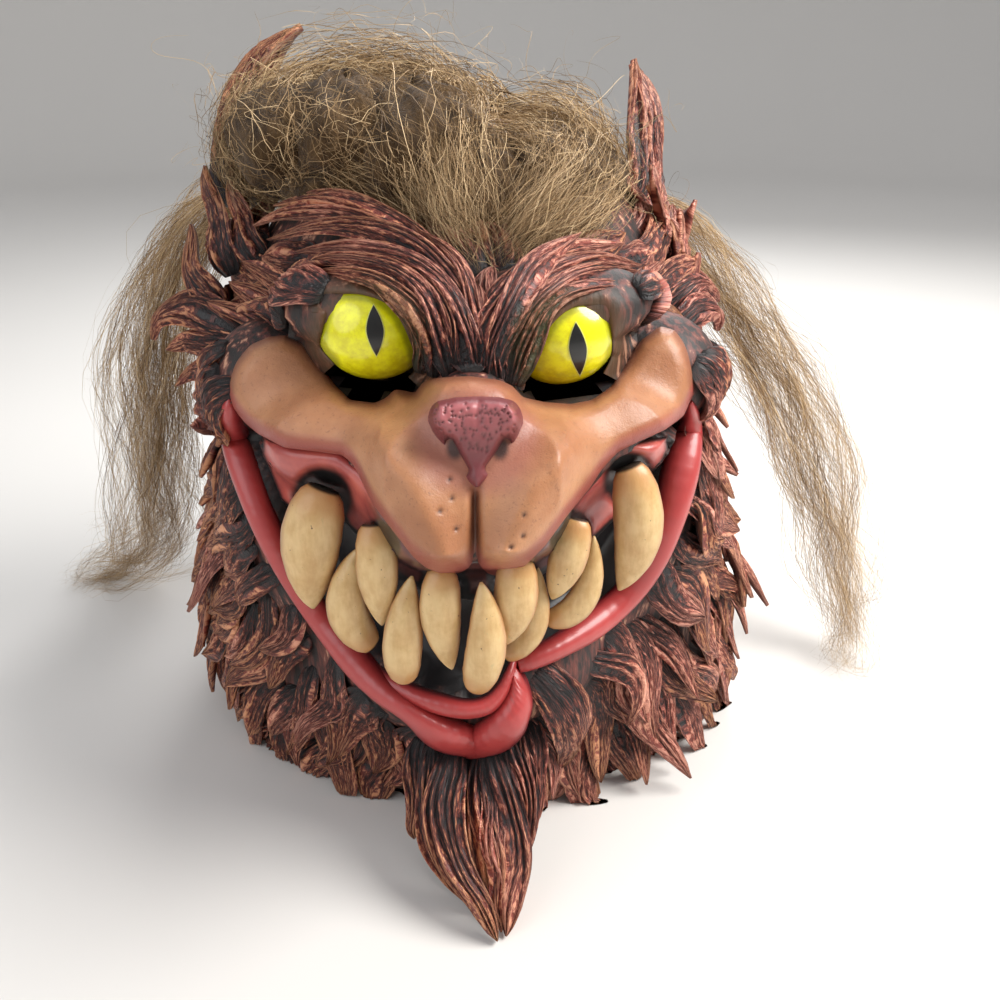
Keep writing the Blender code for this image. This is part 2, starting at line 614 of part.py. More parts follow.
def main():
    clear_scene()
    model = new_collection(COLLECTION)
    fur = new_material("painted_latex", (0.20, 0.055, 0.04), 0.55)
    enamel = new_material("tooth_paint", (0.78, 0.60, 0.33), 0.45)
    yellow = new_material("eye_paint", (0.85, 0.86, 0.02), 0.30)
    frizz = new_material("frizzy_hair", (0.23, 0.16, 0.09), 0.80)

    slits = place_cutters("slit_cutters", (eye_slits,))
    head = build_head(slits)
    fat = build_fat_head()
    finish(head, model, fur)

    for side, word in ((-1, "left"), (1, "right")):
        eye = eyeball(f"eye_{word}", side, new_collection(f"{word}_eye_stock"))
        cut(eye, "DIFFERENCE", fat)
        cut(eye, "DIFFERENCE", slits)
        finish(eye, model, yellow)

    done = new_collection("fat_teeth")
    for row in TEETH:
        one = tooth(row, new_collection("tooth_stock"))
        cut(one, "DIFFERENCE", fat)
        if len(done.objects):
            cut(one, "DIFFERENCE", done)
        wide = tooth(row, done, GAP)
        wide.name = "fat_" + row[0]
        wide.hide_render = True
        wide.display_type = "WIRE"
        finish(one, model, enamel)

    cap = hair_cap("hair_forelock", new_collection("cap_stock"))
    cut(cap, "DIFFERENCE", fat)
    finish(cap, model, frizz)
    mane = hair_mane("hair_back", new_collection("mane_stock"))
    cut(mane, "DIFFERENCE", fat)
    finish(mane, model, frizz)
    fat_hair = place_cutters("fat_hair", (
        lambda group: hair_cap("fat_cap", group, GAP), lambda group: hair_mane("fat_mane", group, GAP)))
    for name, points in HAIR_FALLS:
        fall = hair_fall(name, points, new_collection("fall_stock"))
        cut(fall, "DIFFERENCE", fat)
        cut(fall, "DIFFERENCE", fat_hair)
        finish(fall, model, frizz)
    centre_on_floor(model)


main()
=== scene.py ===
# The mask stands on its neck rim, and the camera looks down at it as the photograph does.
# Everything below is placed either on the head's form or along a line of sight of this camera.
import math

import bpy
import numpy as np
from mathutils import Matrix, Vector


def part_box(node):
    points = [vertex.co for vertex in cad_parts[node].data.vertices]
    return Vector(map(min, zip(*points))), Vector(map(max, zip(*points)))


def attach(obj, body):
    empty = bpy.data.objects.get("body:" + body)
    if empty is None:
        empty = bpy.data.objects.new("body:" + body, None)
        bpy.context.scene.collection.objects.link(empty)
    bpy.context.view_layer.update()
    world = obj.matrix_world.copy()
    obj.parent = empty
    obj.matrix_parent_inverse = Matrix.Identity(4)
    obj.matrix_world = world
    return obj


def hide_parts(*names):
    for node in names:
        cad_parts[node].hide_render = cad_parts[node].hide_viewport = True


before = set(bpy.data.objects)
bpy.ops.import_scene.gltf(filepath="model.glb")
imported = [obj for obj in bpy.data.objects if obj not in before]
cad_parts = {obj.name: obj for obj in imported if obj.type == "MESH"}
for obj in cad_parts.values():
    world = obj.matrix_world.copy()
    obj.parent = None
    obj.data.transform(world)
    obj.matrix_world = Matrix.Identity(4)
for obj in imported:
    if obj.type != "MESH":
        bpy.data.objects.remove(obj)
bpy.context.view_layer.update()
dice = np.random.default_rng(7)

rim = np.array([v.co[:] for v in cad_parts["latex_head"].data.vertices if v.co.z < 1e-4])
rim_low, rim_high = rim.min(axis=0), rim.max(axis=0)
HALF_WIDTH = (rim_high[0] - rim_low[0]) / 2 / 0.9326
HALF_DEPTH = HALF_WIDTH * 1.287
HEAD_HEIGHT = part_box("latex_head")[1][2] / 1.125
NECK = np.array([(rim_low[0] + rim_high[0]) / 2, (rim_low[1] + rim_high[1]) / 2 - 0.01 * HALF_DEPTH, 0.0])

PHOTO_SIZE = 1000.0
SENSOR = 36.0
LENS = 36.0
CAMERA_TILT = math.radians(25.0)
CAMERA_TURN = math.radians(-3.5)
EYE_POINT = NECK + np.array([-0.0111, -0.4932, 0.340])

camera = bpy.data.objects.new("camera", bpy.data.cameras.new("camera"))
bpy.context.scene.collection.objects.link(camera)
camera.data.sensor_width = SENSOR
camera.data.lens = LENS
camera.data.clip_start = 0.01
camera.location = EYE_POINT
camera.rotation_euler = (math.pi / 2 - CAMERA_TILT, 0.0, CAMERA_TURN)
bpy.context.scene.camera = camera

across_view = np.array([math.cos(CAMERA_TURN), math.sin(CAMERA_TURN), 0.0])
level_ahead = np.array([-math.sin(CAMERA_TURN), math.cos(CAMERA_TURN), 0.0])
ahead = math.cos(CAMERA_TILT) * level_ahead - math.sin(CAMERA_TILT) * np.array([0.0, 0.0, 1.0])
down_view = np.cross(ahead, across_view)
PIXELS_PER_SLOPE = PHOTO_SIZE * LENS / SENSOR


def sight(x, y):
    """Unit direction from the camera through a point of the photograph."""
    x, y = np.broadcast_arrays(np.asarray(x, float), np.asarray(y, float))
    slope_x = (x - PHOTO_SIZE / 2) / PIXELS_PER_SLOPE
    slope_y = (y - PHOTO_SIZE / 2) / PIXELS_PER_SLOPE
    line = ahead + slope_x[..., None] * across_view + slope_y[..., None] * down_view
    return line / np.linalg.norm(line, axis=-1, keepdims=True)


def in_photo(points):
    """Where points fall in the photograph."""
    away = points - EYE_POINT
    depth = away @ ahead
    return (PHOTO_SIZE / 2 + PIXELS_PER_SLOPE * (away @ across_view) / depth,
            PHOTO_SIZE / 2 + PIXELS_PER_SLOPE * (away @ down_view) / depth)


def at_depth(x, y, depth):
    """The place on the line of sight that lies at a share of the half depth in front of the neck."""
    line = sight(x, y)
    wanted = NECK[1] + np.asarray(depth, float) * HALF_DEPTH
    return EYE_POINT + line * ((wanted - EYE_POINT[1]) / line[..., 1])[..., None]


# The head is one skin of cast latex about 2.6 mm thick, open at the neck and at two slits to look through.
# It is painted maroon under the fur, black inside the mouth and bare inside.
FORMS = (
    # name, x, y, z, radius x, radius y, radius z, blend; shares of half width, half depth, height
    ("neck", 0.00, 0.01, 0.19, 1.00, 0.66, 0.54, 0.00),
    ("skull", 0.00, 0.08, 0.66, 0.80, 0.62, 0.34, 0.30),
    ("face", 0.00, -0.36, 0.52, 0.68, 0.44, 0.27, 0.22),
    ("chin", 0.00, -0.56, 0.27, 0.44, 0.27, 0.13, 0.16),
    ("jowl", 0.50, -0.36, 0.49, 0.27, 0.22, 0.20, 0.20),
    ("brow", 0.28, -0.60, 0.80, 0.26, 0.13, 0.055, 0.10),
    ("cheek", 0.57, -0.48, 0.685, 0.22, 0.16, 0.085, 0.06),
    ("cheek_bridge", 0.36, -0.64, 0.63, 0.26, 0.17, 0.070, 0.10),
    ("muzzle", 0.125, -0.85, 0.60, 0.15, 0.15, 0.092, 0.20),
    ("nose_bridge", 0.00, -0.78, 0.70, 0.13, 0.17, 0.060, 0.08),
)
TURN_SHARE = 0.60
TURN_HEIGHT = 0.60
FRONT_CROWDING = 0.45
WALL = 0.0026
HEAD_COLUMNS = 264
HEAD_RINGS = 137
MOUTH_DEPTH = 0.016
# Outlines as the photograph shows them
MOUTH = ((232, 405), (262, 430), (290, 450), (340, 455), (372, 492), (395, 535), (440, 566), (474, 562), (505, 572),
         (545, 545), (575, 508), (612, 466), (650, 440), (694, 405), (676, 470), (655, 545), (610, 605),
         (560, 642), (518, 660), (505, 690), (470, 706), (420, 692), (370, 656), (325, 615), (290, 560), (262, 490))
SLIT_LEFT = ((319, 366), (340, 366), (385, 372), (422, 366), (428, 380), (418, 394), (395, 398), (372, 408), (345, 402))
SLIT_RIGHT = ((512, 384), (523, 374), (565, 374), (606, 362), (622, 366), (618, 384), (592, 404), (565, 408), (530, 402))
EYE_MIDDLES = ((367.0, 336.0), (569.0, 345.0))
SOCKET_REACH = 62.0
LATEX_DARK = (0.012, 0.008, 0.007)
LATEX_MAROON = (0.135, 0.034, 0.024)
LATEX_TAN = (0.56, 0.29, 0.185)
LATEX_PINK = (0.62, 0.33, 0.27)


def place(x, y, z):
    """A point from shares of half width, half depth and head height."""
    return NECK + np.stack(np.broadcast_arrays(x * HALF_WIDTH, y * HALF_DEPTH, z * HEAD_HEIGHT), -1)


def head_distance(points):
    """Signed distance from the bare form of the head."""
    size = np.array([HALF_WIDTH, HALF_DEPTH, HEAD_HEIGHT])
    total = None
    for _, x, y, z, rx, ry, rz, blend in FORMS:
        radii = size * (rx, ry, rz)
        for side in ((1,) if x == 0.0 else (1, -1)):
            scaled = (points - place(side * x, y, z)) / radii
            first = np.sqrt(np.einsum("...i,...i", scaled, scaled))
            scaled = scaled / radii
            second = np.sqrt(np.einsum("...i,...i", scaled, scaled))
            one = first * (first - 1.0) / np.maximum(second, 1e-9)
            if total is None:
                total = one
                continue
            near = np.maximum(blend * HALF_WIDTH - np.abs(total - one), 0.0)
            total = np.minimum(total, one) - near * near / (4.0 * max(blend * HALF_WIDTH, 1e-6))
    return total


def head_normal(points):
    """Which way the bare form faces at the points."""
    step = 4e-4
    slope = np.stack([head_distance(points + step * axis) - head_distance(points - step * axis)
                      for axis in np.eye(3)], -1)
    return slope / np.maximum(np.linalg.norm(slope, axis=-1, keepdims=True), 1e-9)


def rays_out(azimuth, height):
    """Start and direction of the rays that sample the head from its upright axis."""
    azimuth, height = np.broadcast_arrays(np.asarray(azimuth, float), np.asarray(height, float))
    climb = np.minimum(height / TURN_SHARE, 1.0) * TURN_HEIGHT * HEAD_HEIGHT
    tilt = np.maximum(height - TURN_SHARE, 0.0) / (1.0 - TURN_SHARE) * math.pi / 2
    out = np.stack([np.sin(azimuth) * np.cos(tilt), -np.cos(azimuth) * np.cos(tilt), np.sin(tilt)], -1)
    start = NECK + np.stack([np.zeros_like(climb), np.zeros_like(climb), climb], -1)
    return start, out


TABLE_COLUMNS = 240
TABLE_ROWS = 121
table_turns = np.linspace(-math.pi, math.pi, TABLE_COLUMNS + 1)
table_heights = np.linspace(0.0, 1.0, TABLE_ROWS)
table_start, table_out = rays_out(table_turns[None, :], table_heights[:, None])
table_reach = np.full(table_start.shape[:2], 0.4)
for _ in range(70):
    table_reach -= 0.75 * head_distance(table_start + table_out * table_reach[..., None])


def on_head(azimuth, height, offset=0.0):
    """Points on the bare form, moved out by offset: azimuth from the face, height 0 rim to 1 crown."""
    start, out = rays_out(azimuth, height)
    turn = (np.mod(np.broadcast_to(azimuth, start.shape[:-1]) + math.pi, 2 * math.pi)) / (2 * math.pi) * TABLE_COLUMNS
    row = np.clip(np.broadcast_to(height, start.shape[:-1]), 0.0, 1.0) * (TABLE_ROWS - 1)
    i = np.minimum(turn.astype(int), TABLE_COLUMNS - 1)
    j = np.minimum(row.astype(int), TABLE_ROWS - 2)
    u, v = turn - i, row - j
    reach = ((table_reach[j, i] * (1 - u) + table_reach[j, i + 1] * u) * (1 - v)
             + (table_reach[j + 1, i] * (1 - u) + table_reach[j + 1, i + 1] * u) * v)
    points = start + out * reach[..., None]
    for _ in range(2):
        points = points - out * head_distance(points)[..., None] * 0.9
    if np.any(offset):
        points = points + head_normal(points) * np.asarray(offset)[..., None]
    return points


def seen(x, y, lift=0.0):
    """Where the line of sight through a photo point meets the head, or passes it most closely."""
    line = sight(x, y)
    travel = np.full(line.shape[:-1], 0.22)
    best = travel.copy()
    closest = np.full(line.shape[:-1], 9.0)
    for _ in range(48):
        gap = head_distance(EYE_POINT + line * travel[..., None])
        nearer = gap < closest
        best = np.where(nearer, travel, best)
        closest = np.where(nearer, gap, closest)
        travel = travel + np.clip(0.8 * gap, -0.01, 0.1)
    points = EYE_POINT + line * best[..., None]
    outside = np.maximum(closest - 1e-3, 0.0)
    normal = head_normal(points)
    turned = np.clip(-(normal * line).sum(-1), 0.55, 1.0)
    return points - normal * outside[..., None] - line * (np.asarray(lift) / turned)[..., None]


def turned_to_view(points, least=0.0):
    """Which points of the bare form face the camera."""
    return (head_normal(points) * unit(EYE_POINT - points)).sum(-1) > least


def unit(vectors):
    return vectors / np.maximum(np.linalg.norm(vectors, axis=-1, keepdims=True), 1e-12)


def depth_inside(outline, x, y):
    """How far photo points lie inside an outline, in pixels; negative outside."""
    corners = np.array(outline, float)
    following = np.roll(corners, -1, axis=0)
    x, y = np.asarray(x, float), np.asarray(y, float)
    nearest = np.full(x.shape, 1e9)
    crossings = np.zeros(x.shape, int)
    for (ax, ay), (bx, by) in zip(corners, following):
        dx, dy = bx - ax, by - ay
        t = np.clip(((x - ax) * dx + (y - ay) * dy) / (dx * dx + dy * dy), 0.0, 1.0)
        nearest = np.minimum(nearest, np.hypot(x - ax - t * dx, y - ay - t * dy))
        if dy != 0.0:
            crossings += ((ay > y) != (by > y)) & (x < (bx - ax) * (y - ay) / dy + ax)
    return np.where(crossings % 2 == 1, nearest, -nearest)


def ease(value, low, high):
    """0 below low, 1 above high and a soft step between."""
    t = np.clip((value - low) / (high - low), 0.0, 1.0)
    return t * t * (3.0 - 2.0 * t)


def new_piece(name, points, faces, marks, paint, smooth=True):
    """One mesh object with named values on its points; it rides with the mask."""
    mesh = bpy.data.meshes.new(name)
    points = np.asarray(points, np.float32).reshape(-1, 3)
    sizes = [face.shape[1] for face in faces for _ in range(len(face))]
    corners = np.concatenate([face.reshape(-1) for face in faces]).astype(np.int32)
    starts = np.concatenate([[0], np.cumsum(sizes)[:-1]]).astype(np.int32)
    mesh.vertices.add(len(points))
    mesh.vertices.foreach_set("co", points.reshape(-1))
    mesh.loops.add(len(corners))
    mesh.loops.foreach_set("vertex_index", corners)
    mesh.polygons.add(len(sizes))
    mesh.polygons.foreach_set("loop_start", starts)
    mesh.polygons.foreach_set("loop_total", np.array(sizes, np.int32))
    mesh.update(calc_edges=True)
    mesh.validate()
    for mark, values in marks.items():
        layer = mesh.attributes.new(mark, "FLOAT", "POINT")
        layer.data.foreach_set("value", np.asarray(values, np.float32).reshape(-1))
    mesh.polygons.foreach_set("use_smooth", np.full(len(mesh.polygons), smooth))
    mesh.materials.append(paint)
    piece = bpy.data.objects.new(name, mesh)
    bpy.context.scene.collection.objects.link(piece)
    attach(piece, "root")
    return piece


def grid_faces(rows, columns, wrap=False, first=0):
    """Quads over a grid of rows and columns whose points are numbered row by row."""
    i, j = np.meshgrid(np.arange(rows - 1), np.arange(columns if wrap else columns - 1), indexing="ij")
    i, j = i.reshape(-1), j.reshape(-1)
    k = (j + 1) % columns
    return first + np.stack([i * columns + j, i * columns + k, (i + 1) * columns + k, (i + 1) * columns + j], 1)


class Wire:
    """A shader socket that can be used in Python sums; each operation adds its Math node."""

    def __init__(self, paint, socket):
        self.paint = paint
        self.socket = socket

    def math(self, operation, *values):
        return self.paint.node("ShaderNodeMath", {"operation": operation}, dict(enumerate(values)))

    def __add__(self, other):
        return self.math("ADD", self, other)

    def __radd__(self, other):
        return self.math("ADD", other, self)

    def __sub__(self, other):
        return self.math("SUBTRACT", self, other)

    def __rsub__(self, other):
        return self.math("SUBTRACT", other, self)

    def __mul__(self, other):
        return self.math("MULTIPLY", self, other)

    def __rmul__(self, other):
        return self.math("MULTIPLY", other, self)

    def __pow__(self, other):
        return self.math("POWER", self, other)

    def step(self, low, high):
        """0 below low, 1 above high, soft between."""
        return self.paint.node("ShaderNodeMapRange", {"interpolation_type": "SMOOTHSTEP"},
                               {0: self, 1: low, 2: high, 3: 0.0, 4: 1.0})


class Finish:
    """A paint or fibre finish: one Principled shader and the nodes that feed it."""

    def __init__(self, name, roughness=0.5, coat=0.0, coat_roughness=0.2, sheen=0.0, specular=0.5, subsurface=0.0):
        self.material = bpy.data.materials.new(name)
        self.material.use_nodes = True
        self.tree = self.material.node_tree
        self.shader = self.tree.nodes["Principled BSDF"]
        for socket, value in (("Roughness", roughness), ("Coat Weight", coat), ("Coat Roughness", coat_roughness),
                              ("Sheen Weight", sheen), ("Specular IOR Level", specular),
                              ("Subsurface Weight", subsurface)):
            self.shader.inputs[socket].default_value = value
        self.spot = self.node("ShaderNodeTexCoord", {}, {}, "Object")

    def node(self, kind, settings, values, output=0):
        """Adds a node: its settings first, then the values or links of its sockets."""
        node = self.tree.nodes.new(kind)
        for key, value in settings.items():
            setattr(node, key, value)
        for key, value in values.items():
            if isinstance(value, Wire):
                self.tree.links.new(value.socket, node.inputs[key])
            else:
                node.inputs[key].default_value = value
        return Wire(self, node.outputs[output])

    def mark(self, name):
        return self.node("ShaderNodeAttribute", {"attribute_name": name}, {}, "Fac")

    def noise(self, scale, detail=3.0, rough=0.55, spot=None):
        return self.node("ShaderNodeTexNoise", {}, {"Vector": spot or self.spot, "Scale": scale, "Detail": detail,
                                                    "Roughness": rough}, 0)

    def stretched(self, x, y, z):
        return self.node("ShaderNodeMapping", {}, {"Vector": self.spot, "Scale": (x, y, z)})

    def mix(self, amount, first, second):
        """A colour between first and second."""
        values = {0: amount}
        for key, colour in ((6, first), (7, second)):
            values[key] = colour if isinstance(colour, Wire) else (*colour, 1.0)
        return self.node("ShaderNodeMix", {"data_type": "RGBA"}, values, 2)

    def wear(self, colour=None, roughness=None, coat=None, relief=None, strength=0.5, distance=0.001):
        """Links what varies over the surface to the shader."""
        for socket, wire in (("Base Color", colour), ("Roughness", roughness), ("Coat Weight", coat)):
            if wire is not None:
                self.tree.links.new(wire.socket, self.shader.inputs[socket])
        if relief is not None:
            bump = self.node("ShaderNodeBump", {}, {"Height": relief, "Strength": strength, "Distance": distance})
            self.tree.links.new(bump.socket, self.shader.inputs["Normal"])
        return self.material


turns = np.arange(HEAD_COLUMNS) * 2 * math.pi / HEAD_COLUMNS
turns = turns - FRONT_CROWDING * np.sin(turns)
heights = np.linspace(0.0, 1.0, HEAD_RINGS)
skin = on_head(turns[None, :], heights[:, None])
skin_x, skin_y = in_photo(skin)
facing_front = (np.cos(turns) > 0.15)[None, :] & (heights > 0.05)[:, None] & turned_to_view(skin)
mouth_depth = np.where(facing_front, depth_inside(MOUTH, skin_x, skin_y), -99.0)
_, skin_out = rays_out(turns[None, :], heights[:, None])
skin = skin - skin_out * (MOUTH_DEPTH * ease(mouth_depth, -2.0, 14.0))[..., None]
in_slit = np.maximum(depth_inside(SLIT_LEFT, skin_x, skin_y), depth_inside(SLIT_RIGHT, skin_x, skin_y))
in_slit = np.where(facing_front, in_slit, -99.0)
socket_gap = np.minimum(*[np.hypot(skin_x - x, skin_y - y) for x, y in EYE_MIDDLES])
socket = np.where(facing_front, 1.0 - ease(socket_gap, 40.0, SOCKET_REACH), 0.0)
inner = on_head(turns[None, :], heights[:, None], -WALL)
inner = np.where((mouth_depth > -6.0)[..., None], skin - skin_out * WALL, inner)
inner[0] = skin[0] * (1 - WALL / 0.12) + (NECK * (WALL / 0.12))
count = HEAD_RINGS * HEAD_COLUMNS
outer_faces = grid_faces(HEAD_RINGS, HEAD_COLUMNS, True)
inner_faces = grid_faces(HEAD_RINGS, HEAD_COLUMNS, True, count)[:, ::-1]
rim_faces = np.stack([np.arange(HEAD_COLUMNS), np.arange(HEAD_COLUMNS) + count,
                      (np.arange(HEAD_COLUMNS) + 1) % HEAD_COLUMNS + count,
                      (np.arange(HEAD_COLUMNS) + 1) % HEAD_COLUMNS], 1)
kept = (in_slit.reshape(-1)[outer_faces] < 0.0).any(axis=1)
# Under the hair and the mane the inside is coarse, so only every second inner face row is needed
step_rows = np.arange(0, HEAD_RINGS, 2)
inner = inner[step_rows][:, ::2]
inner_columns = HEAD_COLUMNS // 2
inner_faces = grid_faces(len(step_rows), inner_columns, True, count)[:, ::-1]
inner_slit = in_slit[step_rows][:, ::2].reshape(-1)
inner_kept = (inner_slit[inner_faces - count] < -2.0).all(axis=1)
rim_index = np.arange(inner_columns)
rim_faces = np.concatenate([
    np.stack([2 * rim_index, rim_index + count, 2 * rim_index + 1], 1),
    np.stack([2 * rim_index + 1, rim_index + count, (rim_index + 1) % inner_columns + count], 1),
    np.stack([2 * rim_index + 1, (rim_index + 1) % inner_columns + count, (2 * rim_index + 2) % HEAD_COLUMNS], 1)])

latex = Finish("head_latex_paint", roughness=0.5, coat=0.12, coat_roughness=0.35)
blotch = latex.noise(34.0, 4.0)
grain = latex.noise(420.0, 3.0)
strand = latex.noise(30.0, 5.0, 0.6, latex.stretched(9.0, 9.0, 1.6))
under_fur = latex.mix(strand.step(0.42, 0.62), LATEX_DARK, LATEX_MAROON)
under_fur = latex.mix((strand + blotch * 0.4).step(0.78, 0.92), under_fur, LATEX_TAN)
rim_band = latex.mark("rim_band")
under_fur = latex.mix(rim_band * (blotch * 0.5 + 0.35), under_fur, (0.42, 0.25, 0.2))
under_fur = latex.mix(latex.mark("socket") * 0.7, under_fur, (0.115, 0.060, 0.024))
under_fur = latex.mix(latex.mark("mouth"), under_fur, (0.006, 0.005, 0.006))
under_fur = latex.mix(latex.mark("inside"), under_fur, (0.05, 0.035, 0.028))
latex.wear(under_fur, roughness=0.62 - latex.mark("mouth") * 0.20, relief=strand * (1.0 - latex.mark("mouth")) + grain * 0.15,
           strength=0.6, distance=0.0015)
marks = {"mouth": np.maximum(ease(mouth_depth, -3.0, 3.0), 0.95 * ease(in_slit, -7.0, -2.0)), "socket": socket,
         "rim_band": np.broadcast_to(1.0 - ease(heights, 0.03, 0.10), (HEAD_COLUMNS, HEAD_RINGS)).T,
         "inside": np.zeros((HEAD_RINGS, HEAD_COLUMNS))}
spare = inner.shape[0] * inner.shape[1]
marks = {key: np.concatenate([np.asarray(value).reshape(-1), np.full(spare, key == "inside", float)])
         for key, value in marks.items()}
head_skin = new_piece("head_skin", np.concatenate([skin.reshape(-1, 3), inner.reshape(-1, 3)]),
                      [outer_faces[kept], inner_faces[inner_kept], rim_faces], marks, latex.material)
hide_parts("latex_head")


# The cheeks and muzzle are the bare, tan part of the face, one swollen roll from cheek to cheek.
# Tan paint is airbrushed over the latex, redder towards the mouth and darkened there by painted shade, with small
# pores.
FACE_TOP = ((229, 395), (230, 378), (236, 362), (250, 345), (268, 337), (285, 335), (305, 345), (318, 362), (335, 385),
            (350, 400), (375, 403), (386, 398), (395, 389), (406, 391), (415, 393), (421, 384), (430, 378), (470, 376),
            (500, 380), (513, 386), (522, 397), (545, 402), (570, 404), (592, 400), (612, 386), (624, 366),
            (640, 341), (660, 326), (675, 330), (686, 346), (692, 368), (694, 392))
FACE_BOTTOM = ((229, 395), (233, 408), (244, 422), (258, 434), (285, 448), (320, 452), (342, 455), (353, 464), (362, 482),
               (372, 503), (386, 522), (400, 540), (413, 557), (426, 568), (442, 574), (460, 573), (470, 567), (475, 556),
               (480, 566), (488, 574), (503, 577), (525, 566), (545, 546), (570, 512), (590, 488), (603, 468),
               (618, 452), (640, 441), (665, 430), (684, 416), (694, 392))
FACE_COLUMNS = 260
FACE_ROWS = 96
FACE_LIFT = 0.0062
FACE_ROUND = 17.0
WHISKER_PITS = ((452, 498), (440, 511), (456, 529), (524, 515), (523, 536), (511, 547), (450, 479))
FACE_TAN = (0.36, 0.145, 0.062)
FACE_LIGHT = (0.50, 0.235, 0.110)
FACE_EDGE_SHADE = (0.17, 0.045, 0.028)
# Colour of the painted shade along the skin's edges
FACE_RED = (0.30, 0.050, 0.042)


def soft_line(points, places, softness=2.2):
    """A line through points read at places along x, its corners eased."""
    points = np.array(points, float)
    fine = np.arange(points[0, 0] - 12, points[-1, 0] + 12, 0.5)
    level = np.interp(fine, points[:, 0], points[:, 1])
    window = np.exp(-0.5 * (np.arange(-16, 17) * 0.5 / softness) ** 2)
    padded = np.pad(level, 16, mode="edge")
    level = np.convolve(padded, window / window.sum(), "valid")
    return np.interp(places, fine, level)


def line_gap(x, y, line):
    """Distance in the photograph from a broken line."""
    gap = np.full(np.shape(x), 1e9)
    for (ax, ay), (bx, by) in zip(line, line[1:]):
        dx, dy = bx - ax, by - ay
        t = np.clip(((x - ax) * dx + (y - ay) * dy) / (dx * dx + dy * dy), 0.0, 1.0)
        gap = np.minimum(gap, np.hypot(x - ax - t * dx, y - ay - t * dy))
    return gap


def dot_field(x, y, spots, size):
    """A field of soft round spots in the photograph's plane."""
    return sum(np.exp(-((x - a) ** 2 + (y - b) ** 2) / (2 * size * size)) for a, b in spots)


def face_height(x, y):
    """How far the bare skin stands off the head, at photo points."""
    edge = depth_inside(FACE_TOP + FACE_BOTTOM[-2:0:-1], x, y)
    roll = np.sqrt(np.maximum(1.0 - (1.0 - np.clip(edge / FACE_ROUND, 0.0, 1.0)) ** 2, 0.0))
    height = FACE_LIFT * roll
    arms = np.minimum(line_gap(x, y, ((372, 440), (412, 488), (443, 552))), line_gap(x, y, ((575, 440), (536, 490), (506, 552))))
    height = height + 0.0042 * np.exp(-(arms / 22.0) ** 2) * roll
    height = height - 0.0060 * np.exp(-((x - 475) / 4.4) ** 2) * ease(y, 478, 500) * (0.3 + 0.7 * roll)
    height = height + 0.0022 * dot_field(x, y, ((400, 396),), 9.0)
    height = height - 0.0010 * dot_field(x, y, WHISKER_PITS, 1.8)
    return height, edge


def front_sheet(name, top, bottom, columns, rows, height, paint, span=None, skirt=0.014, steady=None):
    """A relief over the part of the head between two lines of the photograph, tucked in at its edges."""
    first, last = span or (top[0][0], top[-1][0])
    share = 0.5 - 0.5 * np.cos(np.linspace(0.0, math.pi, columns))
    places = first + (last - first) * (0.35 * share + 0.65 * np.linspace(0.0, 1.0, columns))
    up, low = soft_line(top, places), soft_line(bottom, places)
    low = np.maximum(low, up + 0.4)
    rise = 0.5 - 0.5 * np.cos(np.linspace(0.0, math.pi, rows))
    rise = 0.6 * rise + 0.4 * np.linspace(0.0, 1.0, rows)
    x = np.broadcast_to(places, (rows, columns))
    y = up + (low - up) * rise[:, None]
    lift, marks = height(x, y)
    points = seen(x, y, lift) if steady is None else steady(x, y, lift)
    back = sight(x, y)
    wall = [points[0] + back[0] * skirt, points[-1] + back[-1] * skirt]
    points = np.concatenate([wall[0][None], points, wall[1][None]])
    marks = {key: np.concatenate([value[:1], value, value[-1:]]) for key, value in marks.items()}
    return new_piece(name, points, [grid_faces(rows + 2, columns)[:, ::-1]], marks, paint)


def face_relief(x, y):
    height, edge = face_height(x, y)
    low = soft_line(FACE_BOTTOM, x.reshape(-1)).reshape(x.shape) - y
    nose = np.hypot((x - 476) / 52, (y - 440) / 46)
    marks = {"edge": 1.0 - ease(edge, 0.0, 15.0), "lip_side_tint_and_shade": 1.0 - ease(low, 2.0, 26.0),
             "by_nose_tint_and_shade": 1.0 - ease(nose, 0.9, 1.5), "pit": np.minimum(dot_field(x, y, WHISKER_PITS, 1.6), 1.0),
             "crease_shade": np.exp(-((x - 475) / 5.0) ** 2) * ease(y, 480, 500),
             "nostril": np.exp(-(np.minimum(np.hypot((x - 455) / 10, (y - 448) / 14),
                                            np.hypot((x - 500) / 10, (y - 448) / 14))) ** 2)}
    return height, marks


skin_paint = Finish("tan_skin_paint", roughness=0.44, coat=0.16, coat_roughness=0.35, subsurface=0.05)
patches = skin_paint.noise(26.0, 4.0, 0.6)
speckle = skin_paint.noise(700.0, 2.0, 0.7)
tan = skin_paint.mix(patches.step(0.35, 0.68), FACE_TAN, FACE_LIGHT)
tan = skin_paint.mix(speckle.step(0.56, 0.76) * 0.5, tan, (0.20, 0.080, 0.040))
# Painted shade: darker towards the skin's edges, where it tucks under the fur and meets the lips, broken up by the
# patches.
tan = skin_paint.mix((skin_paint.mark("edge") + patches * 0.5 - 0.25).step(0.35, 1.2) * 0.75, tan, FACE_EDGE_SHADE)
# Towards the mouth: redder airbrushed paint, and darker with painted shade where the skin meets the lips and gums.
tan = skin_paint.mix(skin_paint.mark("lip_side_tint_and_shade").step(0.1, 1.0) * 0.78, tan, FACE_RED)
# Beside the nose: a pinker airbrushed tint, and darker with painted shade.
tan = skin_paint.mix(skin_paint.mark("by_nose_tint_and_shade") * 0.6, tan, (0.33, 0.10, 0.085))
# Painted shade: dark down the crease that splits the lip under the nose.
tan = skin_paint.mix(skin_paint.mark("crease_shade") * 0.75, tan, (0.10, 0.028, 0.022))
tan = skin_paint.mix(skin_paint.mark("pit"), tan, (0.05, 0.02, 0.015))
